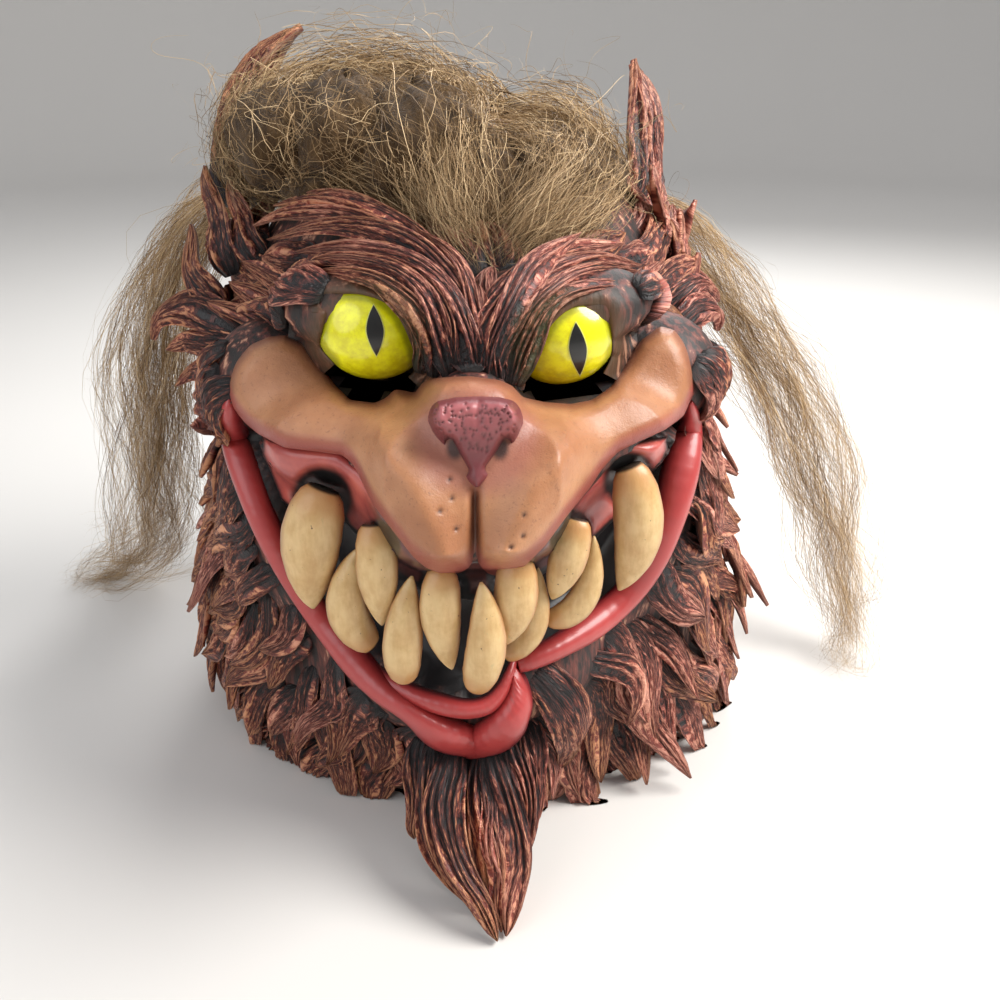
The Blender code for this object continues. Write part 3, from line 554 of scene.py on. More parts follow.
# Painted shade: near black in the nostril hollows, where this skin shows through the nose.
tan = skin_paint.mix(skin_paint.mark("nostril").step(0.2, 0.8) * 0.9, tan, (0.020, 0.006, 0.006))
fine = skin_paint.noise(1500.0, 2.0)
skin_paint.wear(tan, roughness=0.36 + patches * 0.2, relief=fine * 0.5 + skin_paint.noise(260.0, 3.0), strength=0.35,
                distance=0.0008)
face_skin = front_sheet("cheeks_and_muzzle", FACE_TOP, FACE_BOTTOM, FACE_COLUMNS, FACE_ROWS, face_relief,
                        skin_paint.material)


# The nose leather is cast in one with the muzzle: a broad pitted pad over two comma nostrils,
# narrowing to a keel above the split of the lip, painted plum and pinker over the top.
NOSE_TOP = ((428, 418), (430, 407), (437, 401), (456, 397), (478, 396), (500, 397), (514, 401), (521, 408), (523, 420))
NOSE_BOTTOM = ((428, 418), (431, 430), (439, 440), (450, 452), (460, 468), (469, 482), (477, 489), (485, 480),
               (494, 466), (505, 452), (516, 440), (521, 430), (523, 420))
NOSE_LIFT = 0.0085
NOSTRILS = (((450, 442), (456, 455), (464, 470)), ((506, 442), (499, 455), (490, 468)))
NOSE_PLUM = (0.17, 0.035, 0.040)
NOSE_PINK = (0.36, 0.10, 0.105)


def nose_relief(x, y):
    edge = depth_inside(NOSE_TOP + NOSE_BOTTOM[-2:0:-1], x, y)
    dome = np.sqrt(np.maximum(1.0 - (1.0 - np.clip(edge / 13.0, 0.0, 1.0)) ** 2, 0.0))
    nostril = np.minimum(*[line_gap(x, y, line) for line in NOSTRILS])
    hole = np.exp(-(nostril / 4.6) ** 2)
    shelf = 1.0 - ease(y, 405, 470)
    lift = FACE_LIFT * 0.9 + NOSE_LIFT * dome * (0.55 + 0.45 * shelf) - 0.0085 * hole
    lift = lift + 0.0020 * dot_field(x, y, ((438, 424), (515, 424)), 7.0)
    lift = lift - 0.0010 * np.exp(-((x - 478) / 4.0) ** 2) * (1.0 - ease(y, 415, 435))
    pits = np.zeros(x.shape)
    spots = dice.uniform((434, 404), (518, 452), (150, 2))
    for a, b in spots:
        pits = np.maximum(pits, np.exp(-((x - a) ** 2 + (y - b) ** 2) / 2.0))
    pits = pits * (1.0 - hole) * ease(edge, 2.0, 6.0)
    return lift - 0.0007 * pits, {"hole": hole, "pits": pits, "pink_top": ease(edge, 2.0, 10.0) * shelf}


nose_paint = Finish("nose_leather_paint", roughness=0.42, coat=0.2, coat_roughness=0.3)
mottle = nose_paint.noise(120.0, 4.0, 0.65)
plum = nose_paint.mix((nose_paint.mark("pink_top") * 0.6 + mottle * 0.6).step(0.35, 0.95), NOSE_PLUM, NOSE_PINK)
plum = nose_paint.mix(nose_paint.mark("pits") * 0.75, plum, (0.13, 0.035, 0.035))
# Painted shade: near black down in the nostril hollows.
plum = nose_paint.mix(nose_paint.mark("hole"), plum, (0.025, 0.008, 0.01))
nose_paint.wear(plum, roughness=0.35 + mottle * 0.25, relief=mottle, strength=0.3, distance=0.0006)
front_sheet("nose_leather", NOSE_TOP, NOSE_BOTTOM, 120, 72, nose_relief, nose_paint.material,
            skirt=0.006)


# The gums swell round the roots of the upper teeth under the muzzle.
# They are painted coral and shaded with black where they meet the teeth and the dark of the mouth.
GUM_TOP = ((262, 436), (292, 444), (340, 448), (366, 470), (392, 516), (430, 560), (475, 556), (520, 560), (560, 512),
           (600, 462), (630, 442), (668, 436))
GUM_BOTTOM = ((262, 455), (280, 500), (300, 520), (345, 522), (372, 552), (400, 580), (440, 598), (475, 600),
              (520, 590), (556, 566), (590, 545), (612, 522), (642, 500), (668, 452))
GUM_ARCHES = ((322, 500, 30), (377, 545, 20), (444, 590, 22), (512, 575, 22), (571, 535, 20), (630, 480, 26))
GUM_CORAL = (0.50, 0.105, 0.08)
GUM_SETBACK = -0.0085


def gum_relief(x, y):
    edge = depth_inside(GUM_TOP + GUM_BOTTOM[-1::-1], x, y)
    roll = np.sqrt(np.maximum(1.0 - (1.0 - np.clip(edge / 14.0, 0.0, 1.0)) ** 2, 0.0))
    arch = np.zeros(x.shape)
    for a, b, size in GUM_ARCHES:
        arch = np.maximum(arch, 1.0 - ease(np.hypot((x - a) / size, (y - b) / (size * 1.1)), 0.75, 1.25))
    centre = 1.0 - ease(np.abs(x - 478), 85, 135)
    return GUM_SETBACK + 0.0075 * roll - 0.004 * arch, {
        "shade": np.clip(arch * 1.1 + (1.0 - ease(edge, 0.0, 7.0)) + 0.75 * centre, 0.0, 1.0)}


gum_paint = Finish("gum_paint", roughness=0.36, coat=0.35, coat_roughness=0.2)
gum_spots = gum_paint.noise(90.0, 3.0)
gum = gum_paint.mix(gum_spots.step(0.35, 0.7), GUM_CORAL, (0.36, 0.06, 0.055))
gum = gum_paint.mix((gum_paint.mark("shade") + gum_spots * 0.3 - 0.15).step(0.15, 0.95), gum, (0.008, 0.008, 0.008))
gum_paint.wear(gum, relief=gum_spots, strength=0.2, distance=0.001)
front_sheet("gums", GUM_TOP, GUM_BOTTOM, 180, 36, gum_relief, gum_paint.material, skirt=0.008)


# The lips are rolls of the same latex: one from the left corner round the pout, where its end
# hooks up, a thin inner one above it, and one up to the right corner; coral red, glossier where thick.
# The number after each roll's name sets how strongly painted shade darkens its side towards the mouth.
LIP_ROLLS = (
    ("lip_left", 0.5, (
        # outer x, outer y, inner x, inner y, mm in front of the head, swell in mm
        (229, 394, 231, 398, 0.0, 1.5), (222, 408, 241, 414, 1.0, 4.5), (221, 430, 250, 436, 1.5, 6.0),
        (227, 460, 258, 465, 2.0, 6.5), (238, 492, 268, 497, 2.0, 6.5), (251, 524, 281, 526, 2.0, 6.5),
        (268, 558, 295, 555, 2.0, 6.5), (290, 595, 314, 587, 2.0, 6.5), (317, 634, 338, 618, 2.0, 7.0),
        (346, 672, 366, 650, 2.5, 8.0), (374, 699, 386, 674, 3.0, 9.0), (402, 719, 410, 698, 4.0, 10.0),
        (430, 744, 436, 712, 5.0, 11.5), (455, 754, 456, 719, 6.0, 12.5), (478, 757, 477, 721, 6.0, 12.5),
        (501, 750, 494, 715, 5.5, 11.5), (520, 733, 505, 701, 5.0, 10.0), (530, 710, 512, 684, 4.0, 8.0),
        (529, 692, 514, 670, 3.0, 5.5), (522, 676, 514, 662, 2.0, 2.0))),
    ("lip_inner", 1.0, (
        (352, 664, 352, 652, 0.0, 2.0), (384, 689, 386, 669, 1.0, 5.0), (412, 704, 414, 684, 2.0, 6.5),
        (440, 714, 440, 693, 3.0, 7.0), (468, 718, 466, 699, 4.0, 7.0), (492, 712, 484, 696, 4.0, 6.5),
        (507, 696, 497, 684, 3.0, 5.5), (514, 676, 506, 668, 2.0, 4.0), (517, 660, 512, 656, 1.0, 1.5))),
    ("lip_right", 0.4, (
        (520, 672, 516, 658, 1.0, 2.5), (536, 668, 530, 648, 2.0, 6.0), (562, 657, 553, 636, 2.5, 7.0),
        (600, 636, 586, 612, 2.5, 7.0), (638, 602, 616, 586, 2.0, 7.0), (665, 564, 638, 553, 2.0, 7.0),
        (684, 520, 654, 510, 2.0, 7.0), (697, 475, 663, 468, 1.5, 7.0), (701, 438, 672, 438, 1.0, 6.0),
        (699, 414, 683, 418, 0.5, 4.0), (692, 400, 688, 403, 0.0, 1.5))),
)
LIP_CORAL = (0.42, 0.046, 0.044)
# Dark red for the painted shade on the rolls away from their crests
LIP_SHADED = (0.17, 0.010, 0.014)


def smooth_rows(rows, steps):
    """A soft curve through rows of numbers."""
    rows = np.array(rows, float)
    padded = np.vstack([2 * rows[0] - rows[1], rows, 2 * rows[-1] - rows[-2]])
    t = (np.arange(steps) / steps)[:, None]
    pieces = [0.5 * (2 * b + (c - a) * t + (2 * a - 5 * b + 4 * c - d) * t**2 + (3 * b - a - 3 * c + d) * t**3)
              for a, b, c, d in zip(padded, padded[1:], padded[2:], padded[3:])]
    return np.vstack(pieces + [rows[-1:]])


def soft_rows(values, reach):
    """Evens out a row of values over its neighbours."""
    padded = np.pad(values, reach, mode="edge")
    window = np.hanning(2 * reach + 3)[1:-1]
    return np.convolve(padded, window / window.sum(), "valid")


def tube_faces(rows, columns):
    """Side quads of a closed tube and a flat cap at each end."""
    last = (rows - 1) * columns
    return [grid_faces(rows, columns, True), np.arange(columns)[None, ::-1], last + np.arange(columns)[None]]


lip_paint = Finish("lip_paint", roughness=0.34, coat=0.35, coat_roughness=0.22, subsurface=0.06)
lip_noise = lip_paint.noise(160.0, 4.0, 0.65)
lip_patch = lip_paint.noise(22.0, 2.0)
# Painted shade: each roll is coral on its crest, the side towards the view, and dark red towards its edges.
coral = lip_paint.mix((lip_paint.mark("crest") * 0.9 + lip_patch * 0.4 - 0.2).step(0.15, 0.85), LIP_SHADED, LIP_CORAL)
coral = lip_paint.mix((lip_noise - lip_paint.mark("crest") * 0.1).step(0.62, 0.75) * 0.5, coral, (0.40, 0.05, 0.06))
# Painted shade: the side of each roll towards the mouth goes near black.
coral = lip_paint.mix(lip_paint.mark("mouth_side_shade").step(0.45, 1.0) * 0.92, coral, (0.03, 0.012, 0.012))
lip_paint.wear(coral, roughness=0.30 + lip_noise * 0.2, relief=lip_noise, strength=0.25, distance=0.0006)
LIP_SIDES = 28
for name, shade_share, rows in LIP_ROLLS:
    route = smooth_rows(rows, 10)
    lift = route[:, 4] * 0.001
    outer_line, inner_line = sight(route[:, 0], route[:, 1]), sight(route[:, 2], route[:, 3])
    centre = seen((route[:, 0] + route[:, 2]) / 2, (route[:, 1] + route[:, 3]) / 2, lift)
    away = soft_rows(np.linalg.norm(centre - EYE_POINT, axis=1), 9)
    outer, inner_edge = EYE_POINT + outer_line * away[:, None], EYE_POINT + inner_line * away[:, None]
    middle, half = (outer + inner_edge) / 2, (outer - inner_edge) * 0.56
    along = unit(np.gradient(middle, axis=0))
    out = unit(np.cross(half, along))
    out = out * np.sign(-(out @ ahead))[:, None]
    angles = np.arange(LIP_SIDES) * 2 * math.pi / LIP_SIDES
    swell = np.maximum(route[:, 5], 0.2) * 0.001
    wrinkle = 1.0 + 0.02 * np.sin(np.arange(len(route)) * 1.9)
    points = (middle[:, None] + half[:, None] * np.cos(angles)[None, :, None]
              + (out * (swell * wrinkle)[:, None])[:, None] * np.sin(angles)[None, :, None])
    # crest is the half of each roll that faces the view; away from it the painted shade takes over.
    crest = np.broadcast_to(np.maximum(np.sin(angles + 0.35), 0.0) ** 0.7, points.shape[:2])
    # Painted shade on the side towards the mouth, scaled for each roll.
    inward_shade = np.broadcast_to(np.maximum(-np.cos(angles), 0.0) * shade_share, points.shape[:2])
    new_piece(name, points, tube_faces(len(route), LIP_SIDES), {"crest": crest, "mouth_side_shade": inward_shade},
              lip_paint.material)


# Eleven teeth stand in the grin, six above and five below, each a curved seed-shaped fang
# cast with the mask and hand painted cream over tan, with olive flecks and orange at the root.
TEETH = (
    # name, root x, root y, belly x, belly y, tip x, tip y, width in mm, depth share
    ("tooth_upper_1", 324, 488, 311, 545, 313, 608, 24.5, -0.770),
    ("tooth_upper_2", 373, 524, 378, 573, 382, 625, 16.6, -0.848),
    ("tooth_upper_3", 443, 568, 441, 615, 452, 669, 16.4, -0.888),
    ("tooth_upper_4", 516, 554, 514, 601, 502, 645, 17.6, -0.884),
    ("tooth_upper_5", 578, 519, 566, 558, 552, 599, 15.4, -0.850),
    ("tooth_upper_6", 628, 466, 637, 528, 619, 590, 20.5, -0.775),
    ("tooth_lower_1", 372, 645, 347, 602, 359, 548, 17.0, -0.800),
    ("tooth_lower_2", 405, 680, 403, 632, 412, 576, 16.2, -0.872),
    ("tooth_lower_3", 474, 689, 486, 640, 481, 582, 16.2, -0.918),
    ("tooth_lower_4", 505, 655, 533, 622, 538, 568, 11.5, -0.832),
    ("tooth_lower_5", 547, 619, 583, 594, 594, 536, 12.5, -0.815),
)
TOOTH_PROFILE = (
    # share of the way from root to tip, share of the width
    (0.00, 0.50), (0.06, 0.72), (0.18, 0.91), (0.38, 1.00), (0.56, 0.95), (0.74, 0.75), (0.87, 0.49), (0.95, 0.27),
    (1.00, 0.07),
)
TOOTH_RINGS = 34
TOOTH_SIDES = 28
TOOTH_CREAM = (0.72, 0.50, 0.235)
TOOTH_TAN = (0.50, 0.235, 0.075)

enamel = Finish("tooth_paint", roughness=0.36, coat=0.25, coat_roughness=0.25, subsurface=0.05)
tooth_blotch = enamel.noise(95.0, 4.0, 0.6)
streak = enamel.noise(60.0, 4.0, 0.6, enamel.stretched(5.0, 5.0, 1.2))
cream = enamel.mix((tooth_blotch * 0.7 + streak * 0.5).step(0.42, 0.76), (0.56, 0.34, 0.13), TOOTH_CREAM)
cream = enamel.mix((enamel.mark("rooted") + streak * 0.4 - 0.2).step(0.2, 1.0) * 0.75, cream, TOOTH_TAN)
# Painted shade: the sides of each fang, where it turns away from the view, are darker orange-brown.
cream = enamel.mix((enamel.mark("side") + tooth_blotch * 0.5 - 0.25).step(0.35, 1.05) * 0.85, cream, (0.36, 0.155, 0.055))
cream = enamel.mix((streak + enamel.noise(300.0) * 0.3).step(0.80, 0.95) * 0.4, cream, (0.30, 0.27, 0.12))
cream = enamel.mix(enamel.noise(520.0, 1.0).step(0.74, 0.80) * 0.8, cream, (0.10, 0.05, 0.025))
# Painted shade: near black where each fang meets the gum.
cream = enamel.mix(enamel.mark("root_shade").step(0.5, 1.0), cream, (0.03, 0.02, 0.012))
enamel.wear(cream, roughness=0.30 + tooth_blotch * 0.22, relief=streak + tooth_blotch * 0.6, strength=0.25,
            distance=0.0008)
for name, root_x, root_y, belly_x, belly_y, tip_x, tip_y, width, depth in TEETH:
    share = np.linspace(0.0, 1.0, TOOTH_RINGS)
    root, belly, tip = (at_depth(x, y, depth) for x, y in ((root_x, root_y), (belly_x, belly_y), (tip_x, tip_y)))
    belly = belly + np.array([0.0, -0.0025, 0.0])
    bend = 2.0 * belly - 0.5 * (root + tip)
    t = share[:, None]
    spine = (1 - t) ** 2 * root + 2 * t * (1 - t) * bend + t**2 * tip
    along = unit(np.gradient(spine, axis=0))
    side = unit(np.cross(along, np.broadcast_to(-ahead, along.shape)))
    out = np.cross(side, along)
    out = out * np.sign(-(out @ ahead))[:, None]
    angles = np.arange(TOOTH_SIDES) * 2 * math.pi / TOOTH_SIDES
    profile = np.interp(share, *zip(*TOOTH_PROFILE)) * width * 0.0005
    ridge = 1.0 + 0.10 * np.maximum(np.cos(angles - math.pi / 2), 0.0) ** 6
    wobble = 1.0 + 0.018 * np.sin(3 * angles[None, :] + 9 * share[:, None] + root_x)
    points = (spine[:, None] + side[:, None] * (profile[:, None] * np.cos(angles) * wobble)[..., None]
              + out[:, None] * (profile[:, None] * 0.62 * np.sin(angles) * ridge * wobble)[..., None])
    marks = {"rooted": np.broadcast_to((1.0 - ease(share, 0.0, 0.4))[:, None], points.shape[:2]),
             # side marks the fang's edges as seen, where the painted shade lies.
             "side": np.broadcast_to(np.abs(np.cos(angles)) ** 3, points.shape[:2]),
             "root_shade": np.broadcast_to((1.0 - ease(share, 0.0, 0.05))[:, None], points.shape[:2])}
    piece = new_piece(name, points, tube_faces(TOOTH_RINGS, TOOTH_SIDES), marks, enamel.material)
    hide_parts(name)


# The eyes are domes in the skin, sprayed a mottled fluorescent yellow under a gloss varnish.
# Each pupil is a leaf-shaped slit brushed on in black with a thin bare line round it, and a thick
# fold of skin, sprayed olive, closes over the dome above and at both sides.
EYES = (
    # node, shift in mm across, back and up, pupil middle x and y, pupil half width, half height, lean
    ("eye_left", (3.9, 0.0, 4.2), 375.0, 330.5, 8.6, 25.5, 1.5),
    ("eye_right", (-4.6, 0.0, 5.4), 578.0, 349.0, 8.8, 26.5, 2.0),
)
# The fold's edge in the photograph, from the outer corner over the top to the inner corner
EYE_FOLDS = (
    ("eyelid_left", ((335, 364), (321, 347), (323, 330), (327, 314), (326, 302), (334, 296), (347, 294), (361, 295),
                     (376, 299), (389, 306), (398, 317), (405, 330), (411, 345), (415, 359), (414, 370), (408, 377))),
    ("eyelid_right", ((603, 373), (610, 359), (612, 343), (610, 326), (604, 311), (591, 306), (576, 307), (563, 314),
                      (552, 325), (543, 338), (535, 352), (528, 366), (523, 377), (526, 383))),
)
FOLD_STEPS = (
    # pixels outward from the edge, share of the way from the dome to the head, lift in mm
    (0.0, 0.00, -0.6), (0.5, 0.02, 0.6), (2.0, 0.08, 1.3), (4.5, 0.22, 1.6), (8.0, 0.45, 1.6), (13.0, 0.75, 1.4),
    (20.0, 1.00, 0.9), (28.0, 1.00, -0.5), (30.0, 1.00, -4.0),
)
EYE_COLUMNS = 64
EYE_RINGS = 40

yellow = Finish("eye_varnish", roughness=0.24, coat=0.6, coat_roughness=0.08)
fleck = yellow.noise(240.0, 5.0, 0.7)
cloud = yellow.noise(60.0, 3.0)
bright = yellow.mix((fleck * 0.6 + cloud * 0.5).step(0.42, 0.70), (0.74, 0.68, 0.004), (1.0, 0.99, 0.008))
bright = yellow.mix(yellow.mark("shade").step(0.2, 1.0) * 0.7, bright, (0.24, 0.25, 0.01))
yellow.wear(bright, relief=fleck, strength=0.06, distance=0.0005)
black = Finish("pupil_black", roughness=0.35, coat=0.4, coat_roughness=0.12)
black.wear(black.mix(black.noise(300.0).step(0.45, 0.8), (0.003, 0.003, 0.003), (0.012, 0.012, 0.010)))
pale = Finish("pupil_outline", roughness=0.4)
pale.wear(pale.mix(pale.noise(300.0), (0.80, 0.82, 0.25), (0.62, 0.62, 0.08)))


def on_ball(x, y, middle, radii, lift):
    """Where lines of sight meet an ellipsoid, or pass it most closely."""
    line = sight(x, y)
    flat = line / radii
    start = (EYE_POINT - middle) / radii
    a = (flat * flat).sum(-1)
    b = (flat * start).sum(-1)
    c = (start * start).sum() - 1.0
    travel = (-b - np.sqrt(np.maximum(b * b - a * c, 0.0))) / a
    return EYE_POINT + line * (travel - lift)[..., None]


for (node, shift, pupil_x, pupil_y, half_wide, half_high, lean), (fold, edge) in zip(EYES, EYE_FOLDS):
    low, high = (np.array(corner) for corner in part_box(node))
    radius = (high[0] - low[0]) / 2
    middle = np.array([(low[0] + high[0]) / 2, low[1] + radius * 0.80, high[2] - radius * 0.86])
    middle = middle + np.array(shift) * 0.001
    radii = np.array([radius * 0.97, radius * 0.80, radius * 0.87])
    up = np.linspace(0.0, math.pi, EYE_RINGS)[:, None]
    around = np.arange(EYE_COLUMNS) * 2 * math.pi / EYE_COLUMNS
    ball = np.stack([np.sin(up) * np.cos(around), np.sin(up) * np.sin(around),
                     np.broadcast_to(np.cos(up), (EYE_RINGS, EYE_COLUMNS))], -1)
    dome = middle + ball * radii
    route = smooth_rows(edge, 8)
    dome_x, dome_y = in_photo(dome)
    shade = 1.0 - ease(line_gap(dome_x, dome_y, edge), 1.0, 12.0)
    piece = new_piece(node + "_dome", dome, [grid_faces(EYE_RINGS, EYE_COLUMNS, True)], {"shade": shade},
                      yellow.material)
    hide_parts(node)
    for label, paint, grow, lift in (("outline", pale, 1.1, 0.00015), ("pupil", black, 0.0, 0.0003)):
        across = np.linspace(-1.0, 1.0, 13)
        rise = np.linspace(-1.0, 1.0, 45)[:, None]
        wide = (1.0 - np.abs(rise) ** 1.7) * (half_wide + grow)
        x = pupil_x + lean * rise + across * wide
        y = pupil_y + rise * (half_high + grow * 1.4) + 0.0 * across
        new_piece(f"{node}_{label}", on_ball(x, y, middle, radii, lift), [grid_faces(45, 13)[:, ::-1]], {},
                  paint.material)
    ahead_of_route = np.gradient(route, axis=0)
    outward = unit(np.stack([ahead_of_route[:, 1], -ahead_of_route[:, 0]], 1))
    outward = outward * np.sign(((route - route.mean(axis=0)) * outward).sum(axis=1).mean())
    spread, share, rise = np.array(FOLD_STEPS).T
    x = route[:, 0] + spread[:, None] * outward[:, 0]
    y = route[:, 1] + spread[:, None] * outward[:, 1]
    near = np.linalg.norm(on_ball(route[:, 0], route[:, 1], middle, radii, 0.0) - EYE_POINT, axis=-1)
    far = np.linalg.norm(seen(x, y) - EYE_POINT, axis=-1)
    away = near * (1.0 - share[:, None]) + far * share[:, None] - rise[:, None] * 0.001
    glow = np.broadcast_to((1.0 - ease(spread, 2.0, 26.0))[:, None], x.shape)
    new_piece(fold, EYE_POINT + sight(x, y) * away[..., None], [grid_faces(len(spread), len(route))],
              {"socket": glow}, latex.material)


# The fur is sculpted in the latex: overlapping S-curved locks with sharp combed ridges.
# Black is wiped into the grooves over maroon, and the crests are dry-brushed with tan and pink; the locks carry painted
# shade at their roots and painted light towards their tips.
FUR_GUIDES = (
    # each stroke follows the fur from root to tip across the photograph
    ((470, 372), (462, 325), (440, 280), (400, 248), (352, 232), (300, 238)),
    ((452, 330), (425, 285), (380, 255), (330, 250), (280, 262)),
    ((430, 350), (420, 310), (392, 286), (350, 280), (300, 285)),
    ((474, 330), (468, 285), (450, 250), (420, 225)),
    ((425, 240), (375, 212), (320, 205), (270, 215)),
    ((318, 330), (290, 300), (255, 275), (225, 255)),
    ((292, 332), (262, 312), (225, 305), (185, 312)),
    ((262, 340), (235, 325), (200, 322), (165, 335)),
    ((240, 365), (215, 362), (188, 372)),
    ((232, 392), (210, 395), (192, 410)),
    ((300, 235), (262, 215), (232, 190)), ((270, 250), (235, 235), (205, 215)),
    ((225, 420), (205, 450), (194, 490)), ((232, 470), (212, 520), (198, 560)),
    ((248, 520), (228, 570), (210, 610)), ((270, 565), (245, 615), (225, 660)),
    ((296, 605), (268, 655), (252, 700)), ((325, 645), (302, 700), (290, 745)),
    ((355, 685), (342, 735), (332, 775)), ((390, 712), (382, 760), (372, 790)),
    ((425, 745), (430, 790), (440, 830)), ((215, 470), (200, 540), (192, 600)),
    ((488, 370), (488, 325), (482, 285)), ((505, 378), (518, 330), (540, 290), (575, 255)),
    ((520, 372), (540, 322), (575, 288), (625, 272)), ((545, 322), (580, 296), (625, 290), (665, 300)),
    ((612, 345), (635, 325), (650, 300), (660, 275)), ((640, 335), (660, 308), (690, 295), (715, 305)),
    ((560, 262), (600, 245), (640, 230)), ((620, 250), (645, 215), (655, 180)),
    ((672, 325), (700, 322), (718, 345)), ((690, 345), (716, 372), (726, 410)),
    ((697, 385), (722, 425), (736, 470)), ((700, 430), (728, 480), (756, 530)),
    ((694, 480), (722, 530), (760, 580)), ((680, 530), (706, 580), (735, 640)),
    ((660, 575), (682, 625), (700, 680)), ((632, 608), (655, 660), (672, 715)),
    ((600, 640), (622, 690), (632, 745)), ((565, 660), (588, 705), (590, 760)),
    ((535, 680), (556, 725), (556, 780)), ((720, 470), (752, 530), (772, 590)),
    ((500, 755), (512, 800), (512, 860)),
)
GUIDE_REACH = 0.017
FUR_SPACING = 0.0162
FUR_LIMIT = math.radians(128.0)
NO_FUR = ((229, 397), (231, 372), (250, 346), (285, 336), (306, 346), (319, 350), (322, 318), (334, 298), (386, 305),
          (412, 348), (425, 378), (470, 377), (514, 385), (523, 378), (552, 321), (575, 307), (606, 307), (614, 350),
          (640, 341), (660, 326), (678, 334), (690, 358), (699, 405), (700, 455), (687, 505), (667, 557), (640, 602),
          (602, 634), (562, 656), (530, 668), (532, 715), (510, 748), (475, 757), (430, 745), (400, 716), (352, 680),
          (318, 640), (287, 592), (258, 542), (236, 490), (222, 440))
LOCK_TOP = 19
LOCK_UNDER = 2

guide_spots, guide_ways = [], []
for stroke in FUR_GUIDES:
    route = smooth_rows(stroke, 3)
    spots = seen(route[:, 0], route[:, 1])
    guide_spots.append(spots[:-1])
    guide_ways.append(unit(np.diff(spots, axis=0)))
guide_spots, guide_ways = np.concatenate(guide_spots), np.concatenate(guide_ways)


def fur_way(points, normals):
    """The lie of the fur on the head: after the nearest strokes, and downward away from them."""
    gap = points[..., None, :] - guide_spots
    weight = np.exp(-np.einsum("...i,...i", gap, gap) / GUIDE_REACH**2)
    way = np.einsum("...g,gi->...i", weight, guide_ways)
    outward = points - NECK
    fall = 0.012 * np.stack([outward[..., 0] * 2.0, outward[..., 1] * 2.0, np.full(outward.shape[:-1], -1.0)], -1)
    way = way + fall
    way = way - np.einsum("...i,...i", way, normals)[..., None] * normals
    return unit(way)


def trace_locks(seeds, length, rings, sway, rate, start, lift, curl):
    """Lock centre lines that follow the fur from their seeds, swaying, and leaving the head at the tip."""
    spots = seeds
    points, normals = [], []
    for ring in range(rings):
        normal = head_normal(spots)
        spots = spots - normal * head_distance(spots)[:, None]
        share = ring / (rings - 1)
        points.append(spots + normal * (lift * (-0.12 + 1.0 * share**1.15 + curl * share**4))[:, None])
        normals.append(normal)
        way = fur_way(spots, normal)
        turn = sway * np.sin(start + share * rate)
        way = way * np.cos(turn)[:, None] + np.cross(normal, way) * np.sin(turn)[:, None]
        spots = spots + way * (length / (rings - 1))[:, None]
    return np.stack(points, 1), np.stack(normals, 1)


def leaf_locks(spines, normals, widths, depths, ridges):
    """Skins the centre lines as pointed leaves whose combed ridges wander, fork and fade."""
    locks, rings = spines.shape[:2]
    share = np.linspace(0.0, 1.0, rings)[None, :, None]
    across = np.linspace(-1.0, 1.0, LOCK_TOP)[None, None, :]
    along = unit(np.gradient(spines, axis=1))
    side = unit(np.cross(along, normals))
    up = np.cross(side, along)
    up = up * np.sign(np.einsum("...i,...i", up, normals))[..., None]
    phase = dice.uniform(0.0, 2 * math.pi, (7, locks, 1, 1))
    bent = across + 0.20 * np.sin(2.3 * across + 3.2 * share + phase[0])
    bent = bent + 0.10 * np.sin(5.5 * across - 4.5 * share + phase[1])
    comb = math.pi * ridges[:, None, None] / 2 * bent + phase[2] + 1.5 * np.cos(phase[3]) * share
    crest = (1.0 - np.abs(np.sin(comb))) ** 0.9 * (0.72 + 0.28 * np.sin(6.0 * share + 3.0 * across + phase[4]))
    second = 1.0 - np.abs(np.sin(1.9 * comb + phase[5]))
    edge = ease(np.abs(across), 0.70, 1.0) * (0.75 + 0.25 * np.sin(7.0 * share + phase[6]))
    relief = np.maximum(0.82 * crest + 0.18 * second, 0.85 * edge) * (0.35 + 0.65 * ease(share, 0.0, 0.2))
    taper = np.interp(share, (0.0, 0.10, 0.30, 0.55, 0.78, 0.92, 1.0), (0.55, 0.90, 1.0, 0.90, 0.62, 0.32, 0.05))
    taper = taper * (1.0 + 0.10 * np.sin(8.0 * share + phase[5]))
    half = widths[:, None, None] * taper / 2
    deep = depths[:, None, None] * (0.25 + 0.75 * taper)
    bulge = 0.55 * (1.0 - across**2) + 0.75 * relief
    top = (spines[:, :, None] + side[:, :, None] * (half * across)[..., None]
           + up[:, :, None] * (deep * bulge)[..., None])
    below = np.linspace(1.0, -1.0, LOCK_UNDER + 2)[1:-1]
    bottom = (spines[:, :, None] + side[:, :, None] * (half * below)[..., None]
              - up[:, :, None] * (deep * 0.45 * (1.0 - below**2))[..., None])
    length = np.linalg.norm(np.diff(spines, axis=1), axis=-1).sum(axis=1)
    hair_x = np.broadcast_to(widths[:, None, None] * 500.0 * bent + phase[0] * 40.0, relief.shape)
    hair_y = np.broadcast_to(length[:, None, None] * 1000.0 * share + phase[1] * 40.0, relief.shape)
    under = np.zeros((locks, rings, LOCK_UNDER))
    # tip runs from root to tip along each lock; the paint uses it for painted shade at the root and painted light
    # towards the tip.
    along_share = np.broadcast_to(share, relief.shape)
    marks = {"relief": np.concatenate([relief, under], 2),
             "tip": np.concatenate([along_share, under + along_share[:, :, :1]], 2),
             "hair_x": np.concatenate([hair_x, under + hair_x[:, :, :1]], 2),
             "hair_y": np.concatenate([hair_y, under + hair_y[:, :, :1]], 2)}
    return np.concatenate([top, bottom], 2), marks


